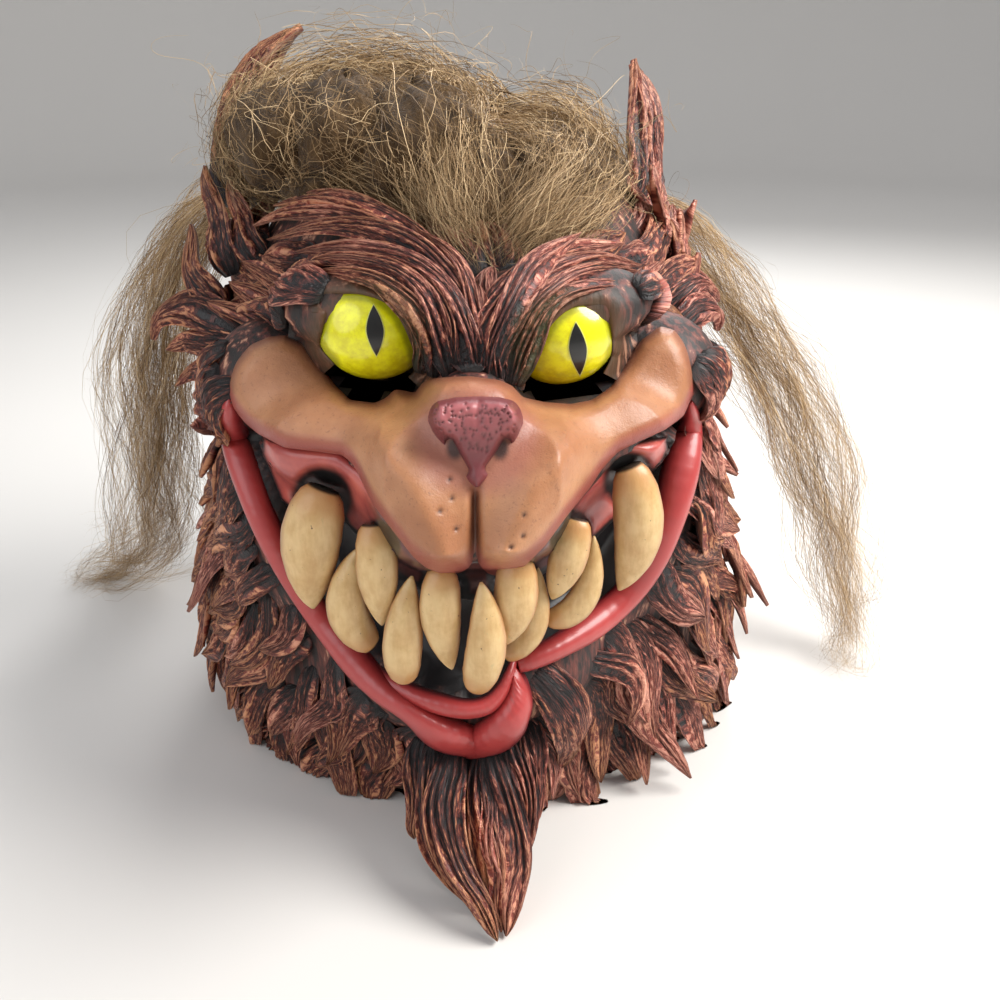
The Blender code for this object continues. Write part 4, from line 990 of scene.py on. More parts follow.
def fur_piece(name, spines, normals, widths, depths, ridges, tone):
    """One piece of many locks."""
    points, marks = leaf_locks(spines, normals, widths, depths, ridges)
    locks, rings, columns = points.shape[:3]
    quads = grid_faces(rings, columns, True)
    quads = (quads[None] + np.arange(locks)[:, None, None] * rings * columns).reshape(-1, 4)
    ends = (np.arange(locks) * rings * columns)[:, None]
    caps = [ends + np.arange(columns)[::-1], ends + (rings - 1) * columns + np.arange(columns)]
    points[..., 2] = np.maximum(points[..., 2], 0.0006)
    eye_x, eye_y = in_photo(points)
    eye_gap = np.minimum(*[np.hypot((eye_x - x) * 0.95, eye_y - y) for x, y in EYE_MIDDLES])
    marks["spray"] = (1.0 - ease(eye_gap, 46.0, 66.0)) * (points[..., 1] < NECK[1] - 0.4 * HALF_DEPTH)
    marks["tone"] = np.broadcast_to(tone[:, None, None], eye_x.shape)
    return new_piece(name, points, [quads, *caps], marks, fur.material)


fur = Finish("fur_paint", roughness=0.5, coat=0.18, coat_roughness=0.3)
relief, tone, tip = fur.mark("relief"), fur.mark("tone"), fur.mark("tip")
comb_spot = fur.node("ShaderNodeCombineXYZ", {}, {"X": fur.mark("hair_x"), "Y": fur.mark("hair_y") * 0.14})
streaks = fur.noise(1.5, 3.0, 0.65, comb_spot).step(0.34, 0.66)
dry = fur.noise(150.0, 4.0, 0.7)
coarse = fur.noise(34.0, 3.0)
# Higher tone gives lighter red and pinker dry-brush; the right-hand locks get more of it as painted light.
red = fur.mix((tone * 0.7 + coarse * 0.9 - 0.3).step(0.1, 0.9), (0.23, 0.040, 0.025), (0.40, 0.082, 0.052))
# Black wash in the grooves over the red, deepened by painted shade towards each lock's root.
wash_and_root_shade = fur.mix((relief * 0.60 + streaks * 0.32 + coarse * 0.30 + tip * 0.42).step(0.44, 0.92), (0.006, 0.004, 0.005), red)
brush = fur.mix((tone + coarse * 0.8 - 0.4).step(0.2, 0.8), (0.70, 0.31, 0.15), (0.78, 0.35, 0.25))
# Dry-brush on the crests, spreading further towards the tips as painted light.
crests_and_tip_light = (relief * 0.62 + streaks * 0.50 + dry * 0.24 + coarse * 0.45 + tip * 0.42).step(1.02, 1.34)
painted = fur.mix(crests_and_tip_light * 0.92, wash_and_root_shade, brush)
painted = fur.mix(fur.mark("spray") * 0.28, painted, (0.13, 0.13, 0.02))
fur.wear(painted, roughness=0.42 + dry * 0.28, relief=streaks * 0.7 + relief * 0.3 + dry * 0.3, strength=0.9,
         distance=0.0016)

girth_turns = np.linspace(-FUR_LIMIT, FUR_LIMIT, 400)
seed_list = []
for row, height in enumerate(np.arange(0.035, 0.86, FUR_SPACING / HEAD_HEIGHT * 0.98)):
    rim = on_head(girth_turns, np.full(400, height))
    girth = np.append(0.0, np.cumsum(np.linalg.norm(np.diff(rim, axis=0), axis=1)))
    stops = np.arange((row % 2) * FUR_SPACING / 2, girth[-1], FUR_SPACING)
    seed_list.append(np.stack([np.interp(stops, girth, girth_turns), np.full(len(stops), height)], 1))
parting = dice.uniform((-1.75, 0.50), (1.75, 0.70), (150, 2))
seed_list.append(parting[np.abs(parting[:, 0]) > 0.6])
seeds = np.concatenate(seed_list)
seeds = seeds + dice.uniform(-0.35, 0.35, seeds.shape) * (FUR_SPACING / HALF_WIDTH, FUR_SPACING / HEAD_HEIGHT)
seed_points = on_head(seeds[:, 0], np.clip(seeds[:, 1], 0.01, 1.0))
seed_x, seed_y = in_photo(seed_points)
front = (turned_to_view(seed_points, -0.05) | (np.abs(seeds[:, 0]) < 0.9)) & (np.cos(seeds[:, 0]) > 0.0)
eye_gap = np.minimum(*[np.hypot(seed_x - x, seed_y - y) for x, y in EYE_MIDDLES])
bare = ((depth_inside(NO_FUR, seed_x, seed_y) > 8.0) | (eye_gap < 54.0)) & front
in_hair = seeds[:, 1] > 0.80 - 0.02 * np.abs(seeds[:, 0])
at_back = np.abs(seeds[:, 0]) >= 1.45
thinned = at_back & (dice.uniform(0.0, 1.0, len(seeds)) < 0.38)
seeds_kept = ~bare & ~in_hair & ~thinned
seeds, seed_points, at_back = seeds[seeds_kept], seed_points[seeds_kept], at_back[seeds_kept]
total = len(seeds)
on_right = seed_points[:, 0] > NECK[0]
low_down = 1.0 - ease(seed_points[:, 2], 0.05 * HEAD_HEIGHT, 0.75 * HEAD_HEIGHT)
fur_length = (0.040 + 0.018 * low_down + 0.004 * on_right) * dice.uniform(0.75, 1.3, total)
brow_zone = (seed_points[:, 2] > 0.70 * HEAD_HEIGHT) & (np.abs(seeds[:, 0]) < 0.9)
fur_length = np.where(brow_zone, 0.034, fur_length)
near_rim = ease(seed_points[:, 2], -0.01, 0.075)
fur_length = fur_length * (0.5 + 0.5 * near_rim)
fur_width = dice.uniform(0.0125, 0.0225, total) * (1.0 + 0.25 * at_back)
fur_depth = dice.uniform(0.0036, 0.0060, total)
fur_lift = np.where(brow_zone, 0.0042, np.where(on_right, 0.0165 + 0.014 * low_down, 0.0135)) * dice.uniform(0.45, 1.35, total)
fur_lift = fur_lift * (0.25 + 0.75 * near_rim)
sway = np.where(brow_zone, 0.15, 0.42) * dice.uniform(0.3, 1.5, total)
spines, spine_normals = trace_locks(seed_points, fur_length, 15, sway, dice.uniform(3.0, 6.5, total),
                                    dice.uniform(0, 2 * math.pi, total), fur_lift, dice.uniform(-0.4, 0.25, total))
fur_ridges = fur_width * dice.uniform(230.0, 320.0, total)
# Tone varies at random and runs higher on the right, painted light on the side the window lamp lights.
fur_tone_and_right_light = np.clip(0.30 + 0.32 * on_right + dice.normal(0.0, 0.25, total), 0.0, 1.0)
for name, chosen in (("fur_left", ~on_right & ~at_back), ("fur_right", on_right & ~at_back), ("fur_behind", at_back)):
    fur_piece(name, spines[chosen], spine_normals[chosen], fur_width[chosen], fur_depth[chosen],
              fur_ridges[chosen], fur_tone_and_right_light[chosen])


# Long locks have places of their own: the two ears, the tufts beside the eyes, the combed brows
# and the pointed beard. They are the same latex, thicker, and stand free of the head at their tips.
OWN_LOCKS = (
    # name, width mm, thickness mm, ridges, tone, (photo x, photo y, depth share) from root to tip
    # Tones run higher on the right-hand locks, painted light on the side the window lamp lights.
    ("ear_left_front", 26, 10.0, 5, 0.15, ((232, 205, -0.02), (234, 160, 0.03), (243, 108, 0.08), (264, 62, 0.13), (303, 28, 0.17))),
    ("ear_left_back", 24, 10.0, 5, 0.10, ((262, 205, 0.05), (256, 155, 0.10), (258, 100, 0.14), (272, 58, 0.17), (298, 32, 0.19))),
    ("ear_right_front", 19, 9.0, 5, 0.45, ((628, 225, 0.00), (634, 185, 0.05), (635, 145, 0.10), (636, 105, 0.14), (630, 60, 0.18))),
    ("ear_right_back", 19, 9.0, 5, 0.60, ((645, 235, 0.05), (648, 190, 0.09), (647, 145, 0.12), (643, 105, 0.15), (632, 64, 0.18))),
    ("ear_right_foot", 17, 7.0, 5, 0.80, ((660, 262, -0.02), (655, 225, 0.02), (652, 190, 0.06), (655, 160, 0.09))),
    ("tuft_left_dark", 16, 6.0, 4, 0.02, ((232, 275, -0.12), (225, 240, -0.10), (216, 205, -0.07), (208, 166, -0.03))),
    ("tuft_left_dark_low", 16, 6.0, 4, 0.05, ((226, 318, -0.16), (208, 292, -0.14), (196, 262, -0.11), (190, 224, -0.08))),
    ("tuft_left_inner", 15, 6.0, 5, 0.25, ((262, 262, -0.16), (250, 235, -0.13), (240, 212, -0.09), (233, 180, -0.05))),
    ("tuft_left_curl", 18, 7.0, 5, 0.30, ((252, 335, -0.25), (222, 318, -0.20), (192, 310, -0.14), (166, 318, -0.10), (156, 340, -0.10))),
    ("tuft_left_curl_low", 14, 5.5, 4, 0.30, ((240, 352, -0.28), (212, 345, -0.22), (188, 342, -0.17), (168, 350, -0.14))),
    ("tuft_left_fold", 13, 5.5, 4, 0.35, ((236, 378, -0.32), (215, 372, -0.26), (195, 372, -0.20), (180, 386, -0.17))),
    ("tuft_left_eye_1", 12, 4.5, 5, 0.35, ((318, 346, -0.50), (292, 322, -0.44), (262, 300, -0.36), (232, 282, -0.28))),
    ("tuft_left_eye_2", 12, 4.5, 5, 0.30, ((322, 322, -0.52), (300, 296, -0.46), (272, 276, -0.38), (240, 262, -0.29))),
    ("tuft_left_eye_3", 11, 4.5, 5, 0.40, ((296, 340, -0.44), (268, 326, -0.37), (238, 312, -0.30), (208, 302, -0.23))),
    ("tuft_right_top", 17, 7.0, 5, 0.75, ((640, 300, -0.14), (652, 265, -0.10), (660, 235, -0.05), (662, 205, 0.0))),
    ("tuft_right_mid", 17, 7.0, 5, 0.80, ((650, 318, -0.22), (680, 290, -0.16), (702, 285, -0.11), (714, 302, -0.08))),
    ("tuft_right_curl", 15, 7.0, 4, 0.80, ((668, 330, -0.26), (692, 312, -0.20), (710, 312, -0.15), (716, 330, -0.13))),
    ("tuft_right_inner", 15, 6.0, 5, 0.70, ((600, 278, -0.24), (622, 248, -0.16), (636, 222, -0.10), (642, 200, -0.06))),
    ("tuft_right_outer", 14, 6.0, 4, 0.70, ((655, 285, -0.12), (668, 258, -0.06), (672, 232, -0.02), (668, 205, 0.02))),
    ("tuft_right_eye_1", 11, 4.5, 4, 0.75, ((616, 345, -0.52), (630, 318, -0.44), (646, 296, -0.35), (664, 280, -0.26))),
    ("tuft_right_eye_2", 11, 4.5, 4, 0.70, ((612, 322, -0.52), (626, 300, -0.45), (644, 280, -0.36), (660, 262, -0.26))),
    ("brow_left_1", 12, 5.0, 4, 0.55, ((472, 378, -0.835), (464, 332, -0.810), (442, 290, -0.765), (402, 262, -0.690), (352, 250, -0.600), (300, 252, -0.490))),
    ("brow_left_2", 11, 5.0, 4, 0.45, ((452, 378, -0.825), (440, 336, -0.805), (420, 298, -0.775), (388, 271, -0.715), (346, 260, -0.625), (304, 264, -0.530))),
    ("brow_left_3", 9, 4.5, 3, 0.35, ((434, 376, -0.800), (428, 342, -0.800), (412, 306, -0.785), (382, 283, -0.745), (346, 274, -0.685), (312, 272, -0.600))),
    ("brow_left_4", 12, 5.5, 4, 0.40, ((468, 350, -0.805), (454, 300, -0.750), (420, 254, -0.665), (370, 232, -0.570), (318, 228, -0.460), (270, 240, -0.370))),
    ("brow_left_5", 12, 5.5, 4, 0.50, ((462, 318, -0.750), (438, 268, -0.660), (396, 234, -0.560), (344, 214, -0.450), (292, 214, -0.350), (258, 226, -0.290))),
    ("brow_left_6", 12, 5.5, 4, 0.35, ((448, 288, -0.680), (418, 242, -0.580), (372, 214, -0.480), (320, 200, -0.380), (276, 206, -0.290))),
    ("brow_left_7", 11, 5.0, 4, 0.45, ((476, 372, -0.830), (474, 330, -0.800), (464, 290, -0.740), (444, 256, -0.660), (416, 228, -0.570))),
    ("brow_left_8", 10, 5.0, 4, 0.25, ((460, 366, -0.828), (452, 322, -0.800), (430, 282, -0.740), (392, 254, -0.650), (350, 242, -0.560))),
    ("brow_left_9", 8, 4.0, 3, 0.30, ((424, 372, -0.785), (421, 346, -0.790), (410, 314, -0.790), (390, 293, -0.765), (362, 282, -0.722))),
    ("brow_right_1", 13, 5.5, 4, 0.70, ((490, 381, -0.835), (498, 340, -0.815), (512, 305, -0.775), (534, 272, -0.700), (558, 250, -0.620), (577, 234, -0.550))),
    ("brow_right_2", 11, 5.0, 4, 0.65, ((508, 384, -0.825), (518, 346, -0.805), (535, 308, -0.775), (564, 284, -0.720), (600, 272, -0.640), (640, 272, -0.540))),
    ("brow_right_3", 8, 4.5, 3, 0.75, ((518, 385, -0.805), (527, 350, -0.802), (542, 316, -0.782), (570, 293, -0.742), (606, 285, -0.675), (642, 292, -0.580))),
    ("brow_right_4", 12, 5.5, 4, 0.60, ((500, 356, -0.808), (514, 314, -0.750), (548, 280, -0.670), (592, 262, -0.570), (642, 266, -0.450))),
    ("brow_right_5", 12, 5.5, 4, 0.65, ((492, 334, -0.775), (504, 296, -0.710), (534, 268, -0.630), (578, 250, -0.530), (622, 244, -0.430))),
    ("brow_right_6", 11, 5.0, 4, 0.45, ((484, 372, -0.835), (490, 332, -0.805), (504, 298, -0.750), (524, 270, -0.680), (548, 252, -0.620))),
    ("brow_middle", 12, 5.0, 4, 0.60, ((482, 380, -0.830), (480, 345, -0.805), (477, 312, -0.760), (474, 284, -0.690))),
    ("brow_middle_right", 11, 5.0, 4, 0.75, ((496, 382, -0.830), (498, 350, -0.805), (500, 318, -0.755), (506, 288, -0.700))),
    ("beard_1", 17, 8.0, 4, 0.25, ((452, 748, -0.800), (446, 800, -0.900), (458, 860, -1.000), (480, 905, -1.080), (500, 940, -1.125))),
    ("beard_2", 17, 7.5, 4, 0.50, ((494, 750, -0.800), (504, 800, -0.890), (514, 855, -0.980), (510, 902, -1.060), (503, 936, -1.110))),
    ("beard_3", 14, 6.5, 4, 0.20, ((438, 742, -0.790), (430, 785, -0.860), (434, 832, -0.930), (454, 876, -0.990), (476, 912, -1.040))),
    ("beard_4", 14, 6.5, 4, 0.60, ((512, 735, -0.790), (521, 780, -0.850), (522, 828, -0.920), (516, 868, -0.980), (509, 902, -1.030))),
    ("beard_5", 18, 6.0, 4, 0.15, ((474, 754, -0.770), (474, 805, -0.870), (484, 860, -0.975), (496, 920, -1.075))),
    ("beard_6", 14, 6.0, 4, 0.60, ((520, 715, -0.760), (533, 755, -0.810), (531, 800, -0.860), (523, 838, -0.900))),
    ("beard_7", 14, 6.0, 4, 0.25, ((424, 738, -0.770), (419, 776, -0.820), (418, 815, -0.860), (414, 838, -0.880))),
    ("beard_9", 15, 6.5, 4, 0.35, ((484, 752, -0.790), (488, 815, -0.905), (499, 872, -1.015), (502, 932, -1.105))),
    ("beard_8", 12, 6.0, 4, 0.70, ((482, 752, -0.790), (492, 800, -0.885), (496, 850, -0.980), (500, 890, -1.050))),
)
OWN_RINGS = 28


def own_lock(entry):
    """One long lock: its centre line from the photograph's points, facing outward and towards the view."""
    route = smooth_rows(entry[5], 16)
    pick = np.linspace(0, len(route) - 1, OWN_RINGS)
    route = np.stack([np.interp(pick, np.arange(len(route)), route[:, i]) for i in range(3)], 1)
    spine = at_depth(route[:, 0], route[:, 1], route[:, 2])
    outward = unit((spine - NECK) * (1.0, 1.0, 0.15))
    return spine, unit(0.45 * outward - 0.55 * ahead)


long_spines, long_normals = (np.stack(pair) for pair in zip(*(own_lock(entry) for entry in OWN_LOCKS)))
wave = np.sin(np.linspace(0.0, 9.0, OWN_RINGS) + dice.uniform(0, 6.28, (len(OWN_LOCKS), 1)))
long_spines = long_spines + 0.0011 * wave[..., None] * across_view
LOCK_TOP = 22
fur_piece("brows_ears_and_beard", long_spines, long_normals, np.array([e[1] for e in OWN_LOCKS]) * 0.001,
          np.array([e[2] for e in OWN_LOCKS]) * 0.001, np.array([e[3] for e in OWN_LOCKS], float),
          np.array([e[4] for e in OWN_LOCKS]))


# The hair is crimped fibre glued to the crown: a matted forelock over the brow, a mane behind
# and a loose fall at each side. Each mass is a core, dark with painted shade of the mass's depths, with strands laid
# through and over it.
HAIR_DARK = (0.085, 0.048, 0.020)
HAIR_MID = (0.36, 0.230, 0.112)
HAIR_LIGHT = (0.70, 0.51, 0.29)

fibre = Finish("hair_fibre", roughness=0.55, specular=0.25)
fibre_noise = fibre.noise(45.0, 3.0)
brown = fibre.mix((fibre.mark("tone") * 0.9 + fibre_noise * 0.5).step(0.2, 0.85), HAIR_DARK, HAIR_MID)
brown = fibre.mix((fibre.mark("tone") + fibre_noise * 0.5).step(0.70, 1.30), brown, HAIR_LIGHT)
fibre.wear(brown)
# Painted shade: the core stands for the inside of each hair mass, dark where light does not reach.
core_shade = Finish("hair_core_shade", roughness=0.85, sheen=0.1, specular=0.2)
core_shade_noise = core_shade.noise(60.0, 6.0, 0.75, core_shade.stretched(3.0, 3.0, 1.0))
core_shade.wear(core_shade.mix(core_shade_noise.step(0.3, 0.7), (0.030, 0.016, 0.007), (0.13, 0.074, 0.030)), relief=core_shade_noise,
          strength=0.9, distance=0.003)


HAIR_CEILING = 0.3605


def ribbons(name, strands, width, tone):
    """Strands as narrow ribbons, turned about at random along their way."""
    count, steps = strands.shape[:2]
    along = unit(np.gradient(strands, axis=1))
    lean = unit(dice.normal(0.0, 1.0, (count, 1, 3)) - 0.8 * ahead)
    side = unit(np.cross(along, lean))
    share = np.linspace(0.0, 1.0, steps)
    half = width[:, None] * 0.5 * (1.0 - 0.75 * share**3)
    points = np.stack([strands - side * half[..., None], strands + side * half[..., None]], 2)
    points[..., 2] = np.clip(points[..., 2], 0.0008, HAIR_CEILING)
    quads = grid_faces(steps, 2)
    quads = (quads[None] + np.arange(count)[:, None, None] * steps * 2).reshape(-1, 4)
    tones = np.broadcast_to(tone[:, None, None], points.shape[:3])
    return new_piece(name, points, [quads], {"tone": tones}, fibre.material)


def frizz(count, steps, reach, waves=(1.5, 9.0)):
    """Random smooth wobble of each strand, growing from its root."""
    share = np.linspace(0.0, 1.0, steps)
    wobble = np.zeros((count, steps, 3))
    for _ in range(4):
        rate = dice.uniform(*waves, (count, 1, 3))
        wobble += dice.normal(0.0, 1.0, (count, 1, 3)) * np.sin(rate * share[None, :, None] * math.pi
                                                             + dice.uniform(0, 6.28, (count, 1, 3))) / rate**0.6
    return wobble * reach * ease(share, -0.2, 0.5)[None, :, None]


def tones(count, middle=0.5, spread=0.26):
    return np.clip(dice.normal(middle, spread, count), 0.0, 1.0)


HAIR_LUMPS = (
    # photo x, photo y, depth share, half width mm, half depth mm, half height mm, strands, lie across the lump
    (290, 140, -0.10, 31, 46, 28, 300, 0.4),
    (350, 135, -0.14, 36, 50, 30, 300, -0.2),
    (415, 155, -0.18, 38, 52, 36, 280, 0.2),
    (470, 195, -0.28, 28, 34, 30, 110, 0.0),
    (535, 172, -0.12, 38, 46, 24, 200, -0.4),
    (580, 180, -0.04, 26, 38, 20, 100, -0.7),
    (410, 112, 0.16, 46, 50, 26, 460, 0.3),
    (545, 150, 0.14, 34, 44, 18, 160, 0.3),
    (330, 185, -0.22, 26, 28, 12, 60, 0.7),
)
core_points, core_faces, strand_sets = [], [], []
for lump, (x, y, depth, wide, deep, high, strands, lie) in enumerate(HAIR_LUMPS):
    middle = at_depth(x, y, depth)
    radii = np.array([wide, deep, high]) * 0.001
    up = np.linspace(0.0, math.pi, 28)[:, None]
    around = np.arange(40) * 2 * math.pi / 40
    ball = np.stack([np.sin(up) * np.cos(around), np.sin(up) * np.sin(around), np.cos(up) + 0.0 * around], -1)
    bumps = 1.0 + 0.05 * np.sin(5 * around + 3 * up) + 0.04 * np.sin(9 * around - 7 * up)
    core_points.append((middle + ball * radii * (0.84 * bumps)[..., None]).reshape(-1, 3))
    core_faces.append(grid_faces(28, 40, True, lump * 28 * 40))
    spot = unit(dice.normal(0.0, 1.0, (strands, 3)) + (0.0, -0.2, 0.45))
    way = np.array([lie, -0.5, -0.6]) + dice.normal(0.0, 0.6, (strands, 3))
    trail = []
    for _ in range(14):
        trail.append(spot)
        way = way + dice.normal(0.0, 0.2, way.shape)
        spot = unit(spot + 0.09 * way)
    shell = dice.uniform(0.84, 1.10, (strands, 1, 1)) + 0.05 * frizz(strands, 14, 1.0)[..., :1]
    strand_sets.append(middle + np.stack(trail, 1) * radii * shell + frizz(strands, 14, 0.0020, (3.0, 12.0)))
core = new_piece("hair_forelock_core", np.concatenate(core_points), core_faces, {}, core_shade.material)
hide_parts("hair_forelock")
under_hair = np.concatenate(strand_sets)
ribbons("hair_crown_strands", under_hair, dice.uniform(0.00016, 0.00036, len(under_hair)), tones(len(under_hair), 0.42))

HAIR_STREAMS = (
    # strands, spread mm, thickness mm, tone, then photo x and y from root to tip
    (330, 6.0, 26, 0.50, (313, 66), (262, 95), (240, 141), (256, 182), (313, 190), (372, 202)),
    (330, 6.5, 30, 0.55, (351, 74), (300, 90), (270, 128), (298, 166), (363, 190), (413, 216)),
    (260, 6.0, 32, 0.50, (380, 66), (330, 84), (300, 116), (322, 152), (372, 178), (425, 215)),
    (260, 7.0, 30, 0.45, (313, 112), (347, 103), (380, 128), (390, 162), (413, 195), (445, 235)),
    (330, 6.0, 34, 0.60, (413, 68), (438, 95), (436, 137), (440, 178), (455, 220), (480, 258)),
    (300, 6.0, 34, 0.50, (455, 87), (467, 120), (468, 162), (476, 207), (487, 258)),
    (300, 6.5, 32, 0.50, (397, 82), (405, 124), (413, 166), (434, 207), (464, 248)),
    (330, 6.0, 28, 0.55, (497, 118), (534, 107), (572, 116), (588, 147), (570, 182), (530, 220), (503, 258)),
    (260, 6.0, 24, 0.50, (575, 122), (605, 145), (612, 172), (588, 202), (547, 236), (515, 258)),
    (300, 6.0, 32, 0.55, (476, 134), (509, 137), (540, 147), (546, 176), (522, 214), (496, 252)),
    (240, 6.5, 28, 0.45, (520, 124), (556, 138), (563, 170), (540, 207), (512, 242)),
    (240, 6.0, 20, 0.50, (610, 178), (588, 206), (552, 238), (520, 262)),
    (240, 8.0, 22, 0.60, (290, 76), (330, 64), (375, 62), (415, 68), (448, 88), (470, 116)),
    (260, 7.0, 34, 0.45, (345, 92), (305, 98), (284, 120), (290, 150), (322, 168), (362, 176)),
    (220, 7.0, 38, 0.50, (385, 78), (352, 98), (330, 128), (345, 158), (385, 178), (425, 200)),
    (140, 7.0, 20, 0.45, (262, 80), (242, 120), (240, 158), (262, 186), (310, 196)),
)
HAIR_THICKNESS = 1.35
stream_sets, stream_tones = [], []
for strands, spread, thick, tone_middle, *stroke in HAIR_STREAMS:
    strands = round(strands * HAIR_THICKNESS)
    steps = 16
    route = smooth_rows(stroke, 10)
    begin, end = dice.uniform(0.0, 0.35, strands), dice.uniform(0.6, 1.0, strands)
    pick = (begin[:, None] + (end - begin)[:, None] * np.linspace(0.0, 1.0, steps)) * (len(route) - 1)
    x, y = (np.interp(pick, np.arange(len(route)), route[:, i]) for i in range(2))
    bed = seen(route[:, 0], route[:, 1])
    bed = np.stack([np.interp(pick, np.arange(len(route)), np.linalg.norm(bed - EYE_POINT, axis=-1))], -1)[..., 0]
    height = dice.uniform(0.15, 1.15, (strands, 1)) * thick * 0.001
    height = height * np.interp(pick / (len(route) - 1), (0.0, 0.3, 0.8, 1.0), (0.75, 1.0, 0.75, 0.3))
    trail = EYE_POINT + sight(x, y) * (bed - height)[..., None]
    trail = trail + dice.normal(0.0, 1.0, (strands, 1, 3)) * spread * 0.001 + frizz(strands, steps, 0.0024, (1.5, 7.0))
    stream_sets.append(trail)
    stream_tones.append(tones(strands, tone_middle))
streams = np.concatenate(stream_sets)
ribbons("hair_forelock_strands", streams, dice.uniform(0.00013, 0.00030, len(streams)), np.concatenate(stream_tones))

FALLS = (
    # name, strands, radius mm, route: shares of half width, half depth and head height, and of the radius
    ("hair_fall_left", 1150, 19.0, (
        (-0.52, 0.40, 0.87, 0.60), (-0.90, 0.42, 0.86, 1.10), (-1.16, 0.40, 0.72, 1.50), (-1.30, 0.38, 0.54, 1.60),
        (-1.34, 0.40, 0.37, 1.35), (-1.42, 0.50, 0.20, 1.00), (-1.58, 0.64, 0.080, 0.75), (-1.80, 0.74, 0.026, 0.50),
        (-1.90, 0.68, 0.012, 0.40))),
    ("hair_fall_right", 950, 19.0, (
        (0.52, 0.40, 0.86, 0.55), (0.86, 0.42, 0.81, 1.00), (1.10, 0.34, 0.68, 1.35), (1.32, 0.26, 0.54, 1.45),
        (1.47, 0.18, 0.38, 1.30), (1.58, 0.08, 0.20, 0.95), (1.66, 0.00, 0.070, 0.70), (1.60, -0.10, 0.028, 0.42))),
)
FALL_FLATNESS = 0.55
FALL_WISPS = 46
for name, strands, radius, rows in FALLS:
    steps = 25
    route = smooth_rows(rows, 8)
    share = np.linspace(0.0, 1.0, steps)
    wisp = dice.integers(0, FALL_WISPS, strands)
    wisp_begin = np.where(dice.uniform(0, 1, FALL_WISPS) < 0.7, 0.0, dice.uniform(0.0, 0.45, FALL_WISPS))
    wisp_end = np.minimum(wisp_begin + dice.uniform(0.45, 1.0, FALL_WISPS), 1.0)
    pick = wisp_begin[:, None] + (wisp_end - wisp_begin)[:, None] * share
    path = np.stack([np.interp(pick * (len(route) - 1), np.arange(len(route)), route[:, i]) for i in range(4)], -1)
    turn = dice.uniform(0, 2 * math.pi, (FALL_WISPS, 1)) + dice.normal(0.0, 0.8, (FALL_WISPS, 1)) * share
    out = np.sqrt(dice.uniform(0.02, 0.8, (FALL_WISPS, 1))) * path[..., 3] * radius * 0.001
    wisps = place(path[..., 0], path[..., 1], path[..., 2])
    wisps = wisps + np.stack([out * np.cos(turn), out * np.sin(turn) * FALL_FLATNESS, 0.0 * out], -1)
    wisps = wisps + frizz(FALL_WISPS, steps, 0.0105, (1.0, 6.0))
    loose = dice.uniform(0.3, 1.0, (strands, 1, 1)) * (0.0022 + 0.0045 * share[None, :, None] ** 1.5)
    apart = unit(dice.normal(0.0, 1.0, (strands, 1, 3)))
    trail = wisps[wisp] + apart * loose + frizz(strands, steps, 0.0056, (2.0, 10.0))
    trail[..., 2] = np.maximum(trail[..., 2], 0.0012)
    piece = ribbons(name + "_strands", trail, dice.uniform(0.00010, 0.00023, strands), tones(strands, 0.6))
    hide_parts(name)

MANE_STRANDS = 1350
steps = 20
tuft_turn = dice.uniform(-1.0, 1.0, 90)
start_turn = math.pi + tuft_turn[dice.integers(0, 90, MANE_STRANDS)] + dice.normal(0.0, 0.035, MANE_STRANDS)
start_height = dice.uniform(0.35, 0.98, MANE_STRANDS)
drop = np.linspace(0.0, 1.0, steps)[None, :]
mane_turn = start_turn[:, None] + dice.normal(0.0, 0.10, (MANE_STRANDS, 1)) * drop
mane_height = np.maximum(start_height[:, None] - dice.uniform(0.3, 0.6, (MANE_STRANDS, 1)) * drop, 0.10)
mane_lift = dice.uniform(0.003, 0.019, (MANE_STRANDS, 1)) * (1.0 - 0.5 * ease(np.abs(mane_turn - math.pi), 0.6, 1.0))
mane = on_head(mane_turn, mane_height, mane_lift) + frizz(MANE_STRANDS, steps, 0.0040, (2.0, 8.0))
ribbons("hair_mane_strands", mane, dice.uniform(0.0003, 0.0008, MANE_STRANDS), tones(MANE_STRANDS, 0.45))
mane_rows, mane_columns = 60, 70
turn = math.pi + np.linspace(-0.95, 0.95, mane_columns)[None, :]
rise = np.linspace(0.93, 0.14, mane_rows)[:, None]
body = 1.0 - ((turn - math.pi) / 0.96) ** 6
ripple = 1.0 + 0.22 * np.sin((turn - math.pi) * 17 + 2.0 * rise) + 0.10 * np.sin((turn - math.pi) * 41 - 4.0 * rise)
hem = ease(rise, 0.14, 0.24)
back = on_head(turn + 0.0 * rise, rise + 0.0 * turn, 0.0115 * body * ripple * hem - 0.001)
mane_core = new_piece("hair_mane_core", back, [grid_faces(mane_rows, mane_columns)], {}, core_shade.material)
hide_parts("hair_back")

FLYAWAYS = 420
steps = 24
root_x = dice.uniform(235, 625, FLYAWAYS)
root_y = 108 + 45 * np.abs((root_x - 390) / 200) ** 2 + dice.uniform(-30, 60, FLYAWAYS)
root_points = at_depth(root_x, root_y, dice.uniform(-0.25, 0.3, FLYAWAYS))
aim = unit((root_points - place(0.0, 0.05, 0.80)) + dice.normal(0.0, 0.03, (FLYAWAYS, 3)))
reach = dice.uniform(0.006, 0.026, (FLYAWAYS, 1, 1))
arcs = np.sin(np.linspace(0.0, 2.4, steps))[None, :, None]
loops = root_points[:, None] + aim[:, None] * arcs * reach
loops = loops + unit(dice.normal(0.0, 1.0, (FLYAWAYS, 1, 3))) * np.linspace(0, 1, steps)[None, :, None] * 0.028
loops = loops + frizz(FLYAWAYS, steps, 0.0042, (1.0, 5.0))
ribbons("hair_flyaways", loops, np.full(FLYAWAYS, 0.0002), tones(FLYAWAYS, 0.7, 0.2))


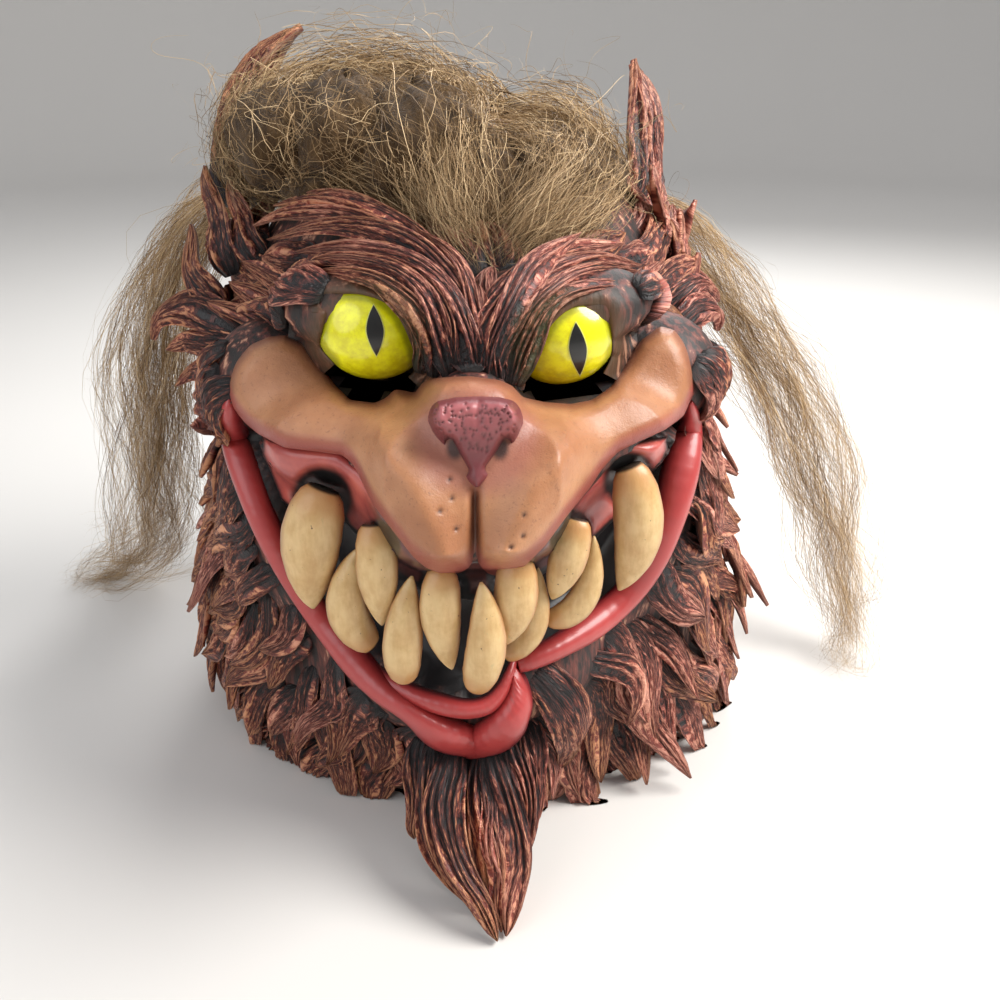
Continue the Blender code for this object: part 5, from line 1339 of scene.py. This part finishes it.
# A plain pale floor curves up into the same pale wall all round, under one large window-soft light
# and two fills.
FLOOR_TONE = (0.72, 0.70, 0.67)
FLOOR_REACH = 2.4
FLOOR_BEND = 0.9
LIGHTS = (
    # name, place from the mask, size, watts, colour
    ("window", (0.80, -0.25, 0.95), 0.8, 22.0, (1.0, 0.98, 0.95)),
    ("fill", (-0.9, -0.7, 0.7), 1.2, 6.0, (0.93, 0.96, 1.0)),
    ("back", (0.3, 0.9, 0.9), 0.9, 10.0, (1.0, 1.0, 1.0)),
)
ground = Finish("plain_floor", roughness=0.9)
ground.wear(ground.mix(ground.noise(3.0), FLOOR_TONE, tuple(0.97 * c for c in FLOOR_TONE)))
profile = [(0.001, 0.0), (FLOOR_REACH, 0.0)] + [
    (FLOOR_REACH + FLOOR_BEND * math.sin(a), FLOOR_BEND * (1.0 - math.cos(a)))
    for a in np.linspace(0.1, math.pi / 2, 16)] + [(FLOOR_REACH + FLOOR_BEND, 2.2)]
floor_turns = np.arange(96) * 2 * math.pi / 96
floor_points = np.array([[(r * math.cos(t), r * math.sin(t), z) for t in floor_turns] for r, z in profile])
floor_mesh = bpy.data.meshes.new("floor")
floor_mesh.from_pydata(floor_points.reshape(-1, 3).tolist(), [], grid_faces(len(profile), 96, True).tolist())
floor_mesh.polygons.foreach_set("use_smooth", np.full(len(floor_mesh.polygons), True))
floor_mesh.materials.append(ground.material)
floor = bpy.data.objects.new("floor", floor_mesh)
bpy.context.scene.collection.objects.link(floor)
for name, spot, size, watts, colour in LIGHTS:
    lamp = bpy.data.lights.new(name, "AREA")
    lamp.shape = "DISK"
    lamp.size = size
    lamp.energy = watts
    lamp.color = colour
    holder = bpy.data.objects.new(name, lamp)
    bpy.context.scene.collection.objects.link(holder)
    holder.location = NECK + np.array(spot)
    toward = NECK + np.array([0.0, 0.0, 0.15]) - np.array(holder.location)
    holder.rotation_euler = Vector(toward).to_track_quat("-Z", "Y").to_euler()
world = bpy.data.worlds.new("studio")
bpy.context.scene.world = world
world.use_nodes = True
world.node_tree.nodes["Background"].inputs["Color"].default_value = (0.93, 0.95, 1.0, 1.0)
world.node_tree.nodes["Background"].inputs["Strength"].default_value = 0.55
bpy.context.scene.view_settings.view_transform = "Standard"
